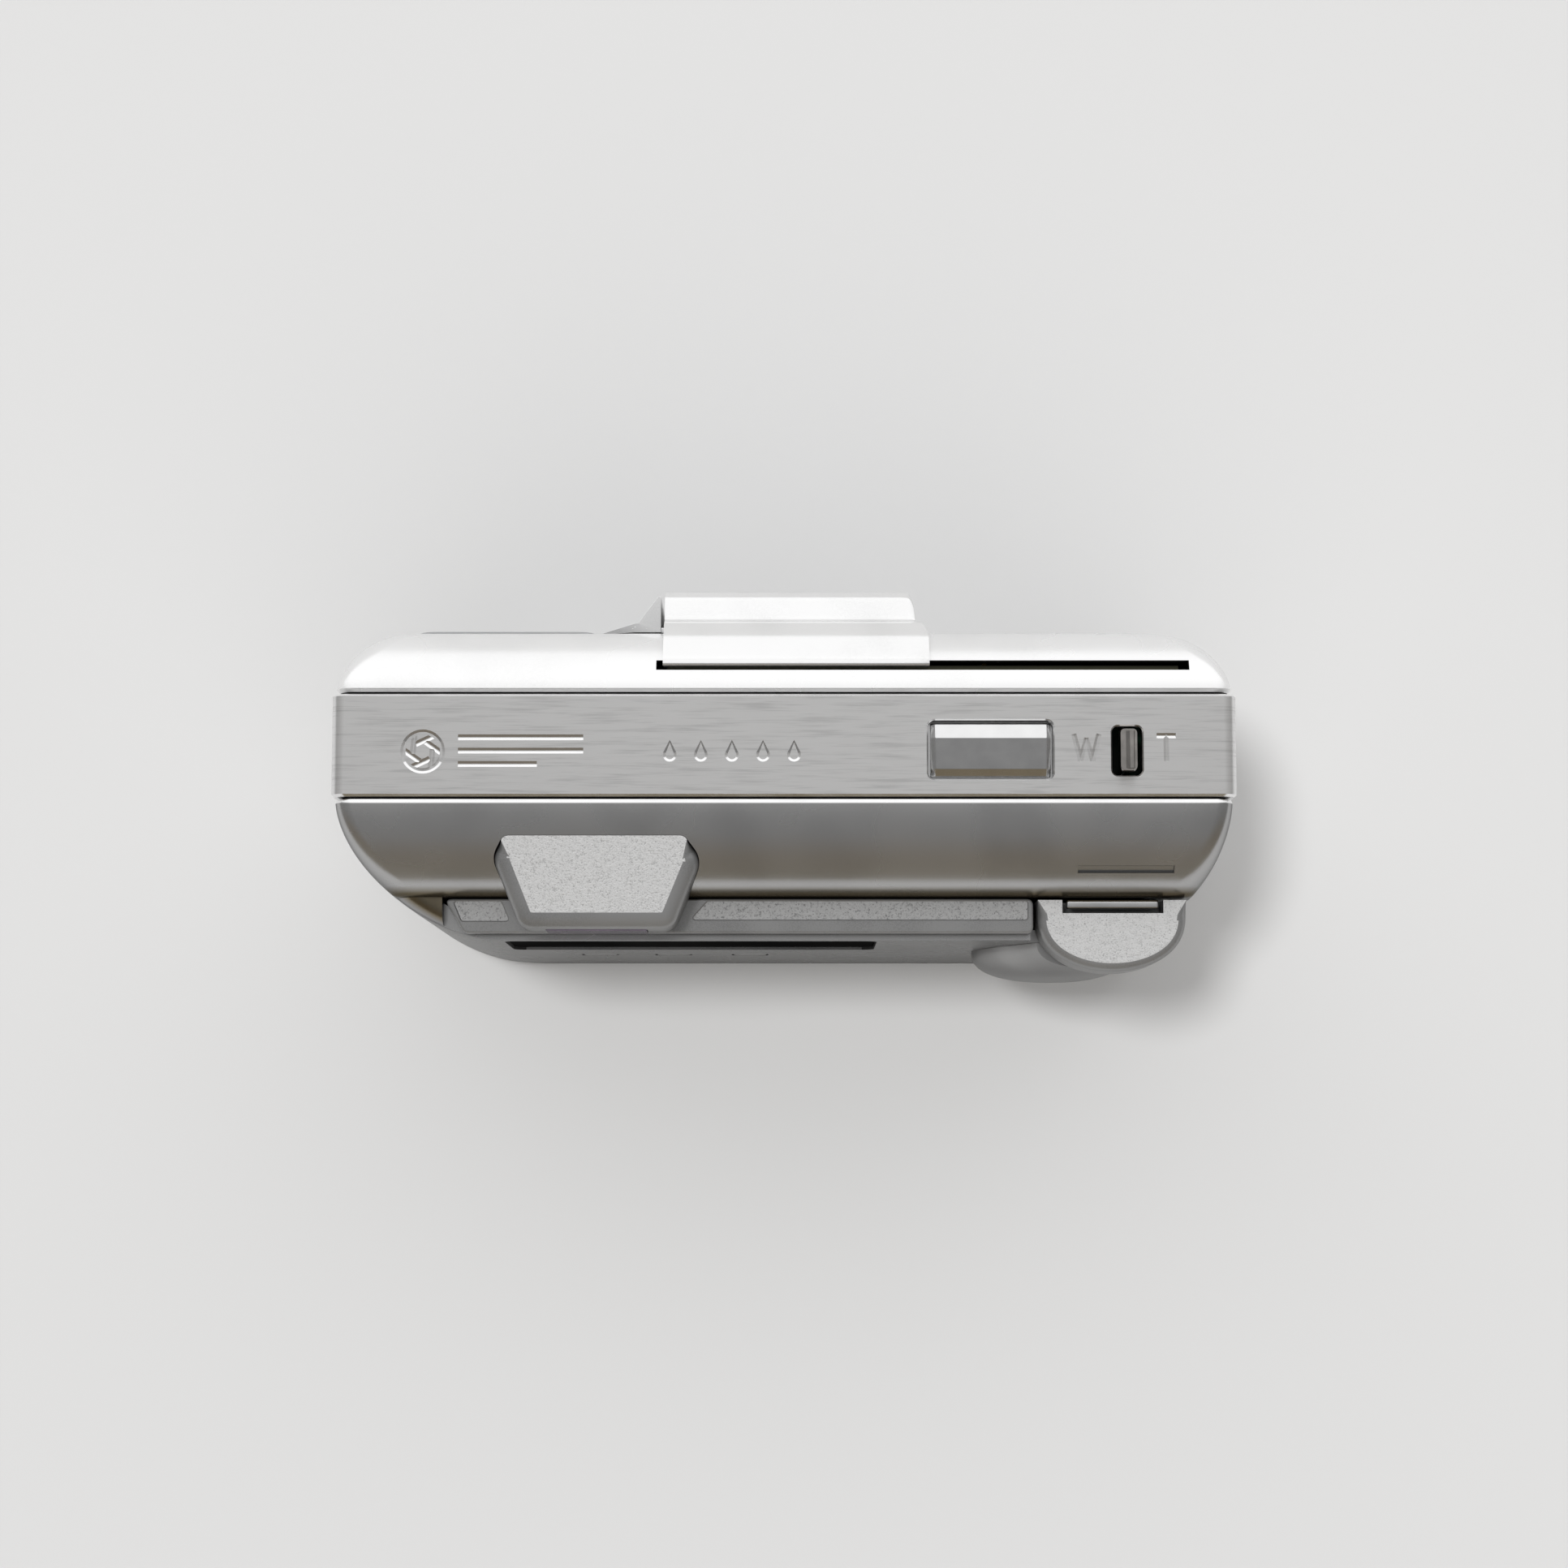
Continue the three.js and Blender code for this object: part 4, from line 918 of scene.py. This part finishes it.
def make_surround():
    x0, x1, y0, y1, z0, z1 = mm_box("lens_surround")
    stop_outline = [
        (15.0, y1), (15.0, -22.6), (15.35, y0), (17.1, -20.4), (17.7, -19.5), (x1, -18.35), (x1, y1),
    ]
    stop = slab("stop", "z", stop_outline, z0, z1)
    slants = [
        [(10, 60), (30, 60), (30, 43.5), (22.6, 48.4), (15.4, 51.4)],
        [(10, 10), (15.4, 12.4), (22.6, 15.4), (30, 19), (30, 10)],
    ]
    combine(stop, [slab("cut", "y", slant, -30, -10) for slant in slants])
    round_edges(stop, 0.15, 2)
    panel = block("panel", x0, 15.1, -18.85, y1, LENS_Z, 49.9)
    cuts = [rod("cut", "y", 13.7, -30, -10, LENS_X, LENS_Z, 96)]
    for name in ("finder_objective", "focus_window_near", "focus_window_far"):
        cuts.append(slab("cut", "y", face_outline(mm_box(name), 0.15, 0.6), -30, -10))
    combine(panel, cuts)
    round_edges(panel, 0.12, 2, 40)
    surround = merge("lens_surround_skin", [stop, panel])
    return finish(surround, "body", COVER_PAINT, ["lens_surround"])


# ---------- Eyepiece housing, strap housing and thumb rest ----------
def front_free(u, v):
    """0 at the hump's front edge, which meets the shoulder with no fillet, and 1 behind it."""
    return ease(v, 7.8, 1.6)


HUMP_TOP = HOUSING[5]
HUMP_LEAN = 0.065
HUMP_FRONT_Y = 7.45
INSET_DEPTH = 0.14


def make_housing():
    hump = prism("hump", "z", dome(hump_outline(), 50.1, HUMP_TOP, 1.9, 9, weight=front_free))
    for vertex in hump.data.vertices:
        rise = max(0, vertex.co.z - HUMP_TOP + 2) / 2
        vertex.co.z -= rise * HUMP_LEAN * (vertex.co.y - HUMP_FRONT_Y)
    mouth = face_outline(mm_box("eyepiece_lens"), 0.1, 0.7)
    combine(hump, [slab("cut", "y", mouth, 16, BACK_Y + 2)])
    strip = rounded_path(
        [
            (41.1, STRIP_Y + 0.2, 0.6),
            (38.6, 18.6, 0.9),
            (HOUSING[0], 18.6, 0.8),
            (HOUSING[0], STRIP_Y + 0.2, 0.8),
        ],
        6,
    )
    base = prism("strip", "z", dome(strip, HOUSING[4], STRIP_TOP, 0.3, 5))
    insets = [
        [(9.2, 14.75, 0.3), (11.2, 16.95, 0.3), (-29.4, 16.95, 0.3), (-29.4, 14.75, 0.3)],
        [(39.9, 14.75, 0.3), (38.9, 17.1, 0.3), (33.2, 17.1, 0.3), (34.2, 14.75, 0.3)],
    ]
    cuts = []
    for corners in insets:
        floor = rounded_path(corners, 4)
        mouth = shrink(floor, -2 * INSET_DEPTH)
        stations = [(floor, STRIP_TOP - INSET_DEPTH), (mouth, STRIP_TOP + INSET_DEPTH)]
        cuts.append(prism("cut", "z", stations))
    combine(base, cuts)
    housing = merge("eyepiece_housing_skin", [hump, base])

    def on_hump(centre, normal):
        return normal.z > 0.995 and centre.z > HUMP_TOP - 1

    def in_inset(centre, normal):
        return normal.z > 0.9 and abs(centre.z - STRIP_TOP + INSET_DEPTH) < 0.02

    return finish(
        housing, "body", SMOOTH_HOUSING_SHADED, ["eyepiece_housing"], 32,
        [(SPARKLE, on_hump), (SHADED_SPARKLE, in_inset)],
    )


def back_free(u, v):
    """0 at the strap housing's flat front, and 1 on its round back."""
    return ease(v, STRAP[2] + 0.1, 2)


def make_strap_housing():
    x0, x1, y0, y1, z0, z1 = STRAP
    mid, half = (x0 + x1) / 2, (x1 - x0) / 2
    flat = 1.8
    outline = [(x0, y0)]
    for k in range(41):
        angle = math.pi * k / 40
        out = math.sin(angle) ** 0.85
        outline.append((mid - half * math.cos(angle), y0 + flat + (y1 - y0 - flat) * out))
    outline.append((x1, y0))
    housing = prism("strap_housing_skin", "z", dome(outline, z0, z1, 1.2, 8, weight=back_free))
    slot = block("cut", -45.8, -33.6, y0 - 2, 16.2, 46.4, z1 + 3)
    combine(housing, [slot])

    def is_top(centre, normal):
        return normal.z > 0.995 and centre.z > z1 - 0.1

    finish(
        housing, "body", SMOOTH_HOUSING_SHADED, ["strap_housing"], 32,
        [(SPARKLE, is_top)],
    )
    bar = block("strap_bar_plate", -45.3, -34.1, y0 - 0.05, y0 + 1.05, 49.9, 50.9, 0.3, 4)
    finish(bar, "body", CHROME, ["strap_bar"])


def smooth_value(knots, z):
    """A smooth curve through (z, value) knots."""
    for i in range(len(knots) - 1):
        (za, a), (zb, b) = knots[i], knots[i + 1]
        if z <= zb or i == len(knots) - 2:
            before = knots[max(0, i - 1)]
            after = knots[min(len(knots) - 1, i + 2)]
            slope_a = (b - before[1]) / (zb - before[0]) * (zb - za)
            slope_b = (after[1] - a) / (after[0] - za) * (zb - za)
            t = (z - za) / (zb - za)
            return (
                (2 * t**3 - 3 * t**2 + 1) * a
                + (t**3 - 2 * t**2 + t) * slope_a
                + (3 * t**2 - 2 * t**3) * b
                + (t**3 - t**2) * slope_b
            )


def make_thumb_rest():
    """A lobe that swells out of the door and runs up under the strap housing."""
    levels = [  # z, left and right edge in x, back in y
        (6.5, -31, -42, 20.2),
        (12, -27.5, -43.5, 21.7),
        (20, -24.6, -44, 22.9),
        (28, -24.2, -44, 23.1),
        (35, -26.2, -44, 23.05),
        (40, -29, -44, 22.8),
        (44.2, -31, -44, 22.4),
    ]
    rings = []
    rows, count = 48, 36
    for row in range(rows + 1):
        z = levels[0][0] + (levels[-1][0] - levels[0][0]) * row / rows
        left, right, back = (
            smooth_value([(level[0], level[k]) for level in levels], z) for k in (1, 2, 3)
        )
        ring = []
        for i in range(count + 1):
            angle = math.pi * i / count
            across = math.copysign(abs(math.cos(angle)) ** 0.9, math.cos(angle))
            x = (left + right) / 2 + (left - right) / 2 * across
            y = BACK_Y + 0.02 + (back - BACK_Y) * math.sin(angle) ** 0.8
            ring.append((x, y, z))
        rings.append(ring)
    lobe = loft("thumb_rest_skin", rings)
    return finish(lobe, "film_door", THUMB_PAINT_SHADED, ["thumb_rest"], 50)


# ---------- Film door ----------
MODE_BUTTONS = [f"mode_button_{k}" for k in range(1, 4)]


def make_film_door():
    wall = 1.5
    top, bottom = DOOR[5], DOOR[4]
    low = STRAP[4] - GAP
    notch = mm_box("thumb_rest")[1] - 5.5
    door = rear_solid("film_door_skin", 0, 24)
    combine(door, [rear_solid("hollow", wall, 16)])
    region = block("region", -44, notch, STRIP_Y, BACK_Y + 1, bottom, low)
    combine(
        region,
        [
            block("add", notch - 0.01, FAR, STRIP_Y + GAP, BACK_Y + 1, bottom, top),
            block("add", 36, FAR, DOOR_WRAP_Y, BACK_Y + 1.01, bottom, top),
        ],
        "UNION",
    )
    combine(door, [region], "INTERSECT")
    window = mm_box("display_window")
    cuts = [slab("cut", "y", face_outline(window, 0.15, 1.5), BACK_Y - 1, BACK_Y + 1)]
    for name in MODE_BUTTONS:
        hole = face_outline(mm_box(name), 0.2, 1.2)
        cuts.append(slab("cut", "y", hole, BACK_Y - 3, BACK_Y + 1))
    combine(door, cuts)
    knuckle = rod("knuckle", "z", 2.5, bottom, low, HINGE_X, HINGE_Y, 64)
    catch = block("catch", 46.9, 48.1, 7.6, 12.0, 21, 28, 0.2)
    door = merge("film_door_skin", [door, knuckle, catch])

    def is_lining(centre, normal):
        return is_inside(centre, normal) and centre.x > -44

    finish(
        door, "film_door", REAR_PAINT_SHADED, ["film_door"], 32, [(BLACK, is_lining)]
    )

    outline = face_outline(window, 0, 1.4)
    glass = prism("display_glass", "y", dome(outline, BACK_Y - 0.7, window[3], 0.15, 3))
    finish(glass, "film_door", WINDOW, ["display_window"])

    def is_back(centre, normal):
        return normal.y < -0.5

    for name in MODE_BUTTONS:
        box = mm_box(name)
        stations = dome(face_outline(box, 0, 1.1), box[2], box[3], 0.25, 4)
        cap = prism(name + "_cap", "y", stations)
        finish(cap, name, THUMB_PAINT_SHADED, [name], 32, [(BLACK, is_back)])


# ---------- Controls on the top ----------
def make_shutter_button():
    x0, x1, y0, y1 = SHUTTER_HOLE
    x0, x1, y0, y1 = x0 + GAP, x1 - GAP, y0 + GAP, y1 - GAP
    top = mm_box("shutter_button")[5]
    ridge = y0 + 1.9
    ends = 0.55

    def section(x, drop):
        profile = [
            (y0, HEIGHT - 2.4),
            (y0, HEIGHT - 0.25 - drop),
            (y0 + 0.25, HEIGHT + 0.2 - drop),
            (ridge, top - drop),
            (y1 - 0.85, top - 0.38 - drop),
            (y1, HEIGHT - 0.25 - drop),
            (y1, HEIGHT - 2.4),
        ]
        return [(x, y, z) for y, z in profile]

    rings = [section(x0, 0.6), section(x0 + ends, 0), section(x1 - ends, 0), section(x1, 0.6)]
    button = loft("shutter_button_cap", rings)
    round_edges(button, 0.07, 2, 8)
    flange = block("flange", x0 - 0.8, x1 + 0.8, y0 - 0.7, y1 + 0.7, 56.5, 57.4)
    stem = rod("stem", "z", 1.4, 53.9, 56.6, -24.6, -2.7, 24)
    button = merge("shutter_button_cap", [button, flange, stem])
    finish(button, "shutter_button", BUTTON_PLATE, ["shutter_button"], 12)


def make_zoom_lever():
    x0, x1, y0, y1, z0, z1 = mm_box("zoom_lever")
    x0, x1 = x0 - 0.05, x1 - 0.15
    ridge = x0 + 0.75

    def outline(inset):
        return rounded_rect(x0 + inset, x1 - inset, y0 + inset, y1 - inset, 0.5, 4)

    stations = [(outline(0.0), z0), (outline(0.0), HEIGHT + 0.2), (outline(0.12), z1 - 0.35)]
    lever = prism("zoom_lever_nib", "z", stations)
    low = z1 - 0.8
    crest = [(x0 + 0.25, low), (ridge - 0.2, z1), (ridge + 0.25, z1), (x1 - 0.15, low)]
    combine(lever, [slab("crest", "y", crest, y0 + 0.35, y1 - 0.35)], "UNION")
    combine(lever, [rod("cut", "y", 0.85, -10, 10, -40.85, 54, 24)])
    round_edges(lever, 0.1, 3)
    finish(lever, "zoom_lever", LEVER_PLATE, ["zoom_lever"])


# ---------- Lens and flash ----------
def make_lens():
    ring = [(12.2, 6), (12.2, -19.4), (12.7, -19.9), (13.1, -19.9), (13.3, -19.6), (13.3, 6)]
    mount = lathe("lens_mount_ring", ring)
    finish(mount, "body", BLACK, ["lens_mount_tube"])
    grooves = []
    for k in range(5):
        y = -20.1 + 0.8 * k
        grooves += [(11.8, y), (11.8, y + 0.45), (11.62, y + 0.5), (11.62, y + 0.75)]
    inside = [(10.6, 3), (10.6, -19.7), (5.6, -19.7), (5.4, -20.2)]
    face = [(6.2, -20.95), (10.4, -21.2), (10.8, -21.4), (11.5, -21.4), (11.8, -21.1)]
    barrel = lathe("zoom_barrel_tube", inside + face + grooves + [(11.8, 3)])
    finish(barrel, "body", BLACK, ["zoom_barrel"], 20)
    angles = [math.pi / 2 * k / 12 for k in range(12, 0, -1)]
    crown = [(5 * math.sin(a), -19.6 - math.cos(a)) for a in angles]
    front = lathe("front_element_glass", [(0, -18.4), (5, -18.4)] + crown + [(0, -20.6)])
    finish(front, "body", GLASS, ["front_element"], 20)


def make_flash():
    y0, y1 = FLASH[2], FLASH[3]
    stations = dome(flash_outline(0), -y1, -y0, 0.3, 4)
    window = prism("flash_lens", "y", [(outline, -y) for outline, y in stations])
    finish(window, "body", CLEAR, ["flash_window"])
    stations = dome(flash_outline(0.42), -y1, 0.25 - FACE_Y, 0.12, 3)
    bezel = prism("flash_bezel", "y", [(outline, -y) for outline, y in stations])
    combine(bezel, [slab("cut", "y", flash_outline(0.04), y0 - 2, y1 + 2)])
    finish(bezel, "body", BLACK)


# ---------- CAD pieces that stay ----------
KEPT_FINISH = {
    "bright_metal": CHROME,
    "contact_brass": BRASS,
    "black_plastic": BLACK,
    "seal_foam": SEAL,
    "ivory_plastic": IVORY,
    "circuit_board": GREEN,
    "battery_sleeve": SLEEVE,
    "lens_glass": GLASS,
    "flash_lens": CLEAR,
    "satin_silver_shell": REAR_PAINT_SHADED,
    "thumb_rest_silver": THUMB_PAINT_SHADED,
}
KEPT_NODE_FINISH = {
    "focus_window_near": FINDER,
    "focus_window_far": FINDER,
    "finder_objective": FINDER,
    "eyepiece_lens": FINDER,
    "cover_rail_top": SLOT_STEEL,
    "cover_rail_bottom": SLOT_STEEL,
}


def smooth_by_angle():
    """A modifier group that shades faces smooth and keeps edges over 30 degrees crisp."""
    group = bpy.data.node_groups.new("smooth_by_angle", "GeometryNodeTree")
    group.interface.new_socket("Geometry", in_out="INPUT", socket_type="NodeSocketGeometry")
    group.interface.new_socket("Geometry", in_out="OUTPUT", socket_type="NodeSocketGeometry")
    enter = group.nodes.new("NodeGroupInput")
    leave = group.nodes.new("NodeGroupOutput")
    faces = group.nodes.new("GeometryNodeSetShadeSmooth")
    edges = group.nodes.new("GeometryNodeSetShadeSmooth")
    edges.domain = "EDGE"
    edges.inputs["Shade Smooth"].default_value = False
    angle = group.nodes.new("GeometryNodeInputMeshEdgeAngle")
    sharp = group.nodes.new("FunctionNodeCompare")
    sharp.operation = "GREATER_THAN"
    sharp.inputs[1].default_value = math.radians(30)
    link = group.links.new
    link(enter.outputs[0], faces.inputs["Geometry"])
    link(faces.outputs[0], edges.inputs["Geometry"])
    link(angle.outputs["Unsigned Angle"], sharp.inputs[0])
    link(sharp.outputs[0], edges.inputs["Selection"])
    link(edges.outputs[0], leave.inputs[0])
    return group


def finish_kept_nodes():
    """Rounds the edges of the CAD pieces that show as they are, and gives each its material."""
    slots = {p["node"]: p["material_slot"] for p in frame["record"]["subparts"]}
    group = smooth_by_angle()
    for name, piece in NODES.items():
        material = KEPT_NODE_FINISH.get(name, KEPT_FINISH.get(slots[name]))
        if material is None:
            continue
        for slot in piece.material_slots:
            slot.material = material
        low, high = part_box(name)
        thinnest = min(b - a for a, b in zip(low, high)) / MM
        bevel = piece.modifiers.new("round", "BEVEL")
        bevel.width = (0.12 if thinnest > 1 else 0.05) * MM
        bevel.segments = 2
        bevel.limit_method = "ANGLE"
        bevel.angle_limit = math.radians(35)
        smooth = piece.modifiers.new("smooth", "NODES")
        smooth.node_group = group


# ---------- Floor, light and camera ----------
FLOOR_SHADE = 0.55
FLOOR_HALF = 9.0
BACKDROP = grey(0.74)


def make_floor():
    mesh = bpy.data.meshes.new("floor")
    half = FLOOR_HALF
    corners = [(-half, -half, 0), (half, -half, 0), (half, half, 0), (-half, half, 0)]
    mesh.from_pydata(corners, [], [(0, 1, 2, 3)])
    floor = new_object("floor", mesh)
    material, tree, shader = new_material("floor_paper", Roughness=0.9, Specular_IOR_Level=0.1)
    shade_of_paper = tint(
        tree, noise(tree, 400, detail=1), grey(FLOOR_SHADE), grey(FLOOR_SHADE + 0.01)
    )
    tree.links.new(shade_of_paper, shader.inputs["Base Color"])
    mesh.materials.append(material)


def make_world():
    """Soft studio surroundings: bright beyond the lens side, darker behind the back.

    They light the camera and show in its metal; past the floor's edge there is a pale backdrop.
    """
    world = bpy.data.worlds.new("studio")
    bpy.context.scene.world = world
    world.use_nodes = True
    tree = world.node_tree
    direction = node(tree, "TexCoord").outputs["Generated"]
    parts = node(tree, "SeparateXYZ", {"Vector": direction})
    sideways = node(tree, "Math", {0: parts.outputs["X"]}, operation="ABSOLUTE").outputs[0]
    turned = node(
        tree, "Math", {0: sideways, 1: 0.3, 2: parts.outputs["Y"]}, operation="MULTIPLY_ADD"
    ).outputs[0]
    ramp = node(tree, "ValToRGB", {"Fac": spread(tree, turned, 0, 1, -1, 1)})
    stops = [  # share of the way from the lens side to the back, and the light from there
        (0.0, grey(1.08)),
        (0.2, grey(1.14)),
        (0.36, grey(1.02)),
        (0.42, grey(0.68)),
        (0.465, grey(0.32)),
        (0.56, grey(0.24)),
        (0.72, grey(0.2)),
        (0.9, (0.17, 0.135, 0.09)),
        (1.0, (0.2, 0.17, 0.12)),
    ]
    elements = ramp.color_ramp.elements
    while len(elements) < len(stops):
        elements.new(0.5)
    for element, (position, colour) in zip(elements, stops):
        element.position = position
        element.color = (*colour, 1)
    seen = node(tree, "LightPath").outputs["Is Camera Ray"]
    sides = {"Fac": seen, "Color1": ramp.outputs["Color"], "Color2": (*BACKDROP, 1)}
    colour = node(tree, "MixRGB", sides).outputs["Color"]
    background = tree.nodes["Background"]
    tree.links.new(colour, background.inputs["Color"])
    background.inputs["Strength"].default_value = 1.0


def make_sun(name, direction, strength, angle):
    """A soft distant lamp that lights the surfaces but doesn't show in their reflections."""
    light = bpy.data.lights.new(name, "SUN")
    light.energy = strength
    light.angle = math.radians(angle)
    lamp = new_object(name, light)
    lamp.rotation_euler = Vector(direction).to_track_quat("Z", "Y").to_euler()
    lamp.visible_glossy = False


CAMERA_TILT = math.radians(6.5)
CAMERA_DISTANCE = 395
CAMERA_LENS = 76.3


def make_camera():
    """Looks straight down and a little forwards, with the lens side at the top of the view."""
    sin, cos = math.sin(CAMERA_TILT), math.cos(CAMERA_TILT)
    right, up, back = Vector((-1, 0, 0)), Vector((0, -cos, sin)), Vector((0, sin, cos))
    aim = Vector((0, 1.4, HEIGHT))
    turn = Matrix((right, up, back)).transposed()
    data = bpy.data.cameras.new("camera")
    data.lens = CAMERA_LENS
    data.clip_start = 0.01
    camera = new_object("camera", data)
    camera.matrix_world = Matrix.Translation((aim + back * CAMERA_DISTANCE) * MM) @ turn.to_4x4()
    bpy.context.scene.camera = camera


bpy.context.scene.view_settings.view_transform = "Standard"
make_camera()
make_front_shell()
make_rear_shell()
make_belt()
make_seal("weather_seal_front", (FRONT_START + BELT[2]) / 2)
make_seal("weather_seal_rear", (REAR_START + BELT[3]) / 2)
make_cover()
make_surround()
make_housing()
make_strap_housing()
make_thumb_rest()
make_film_door()
make_shutter_button()
make_zoom_lever()
make_lens()
make_flash()
finish_kept_nodes()
make_floor()
make_world()
make_sun("key", (0.23, -0.07, 1), 1.8, 9)
make_sun("fill", (-0.1, 1, 1.3), 1.35, 60)
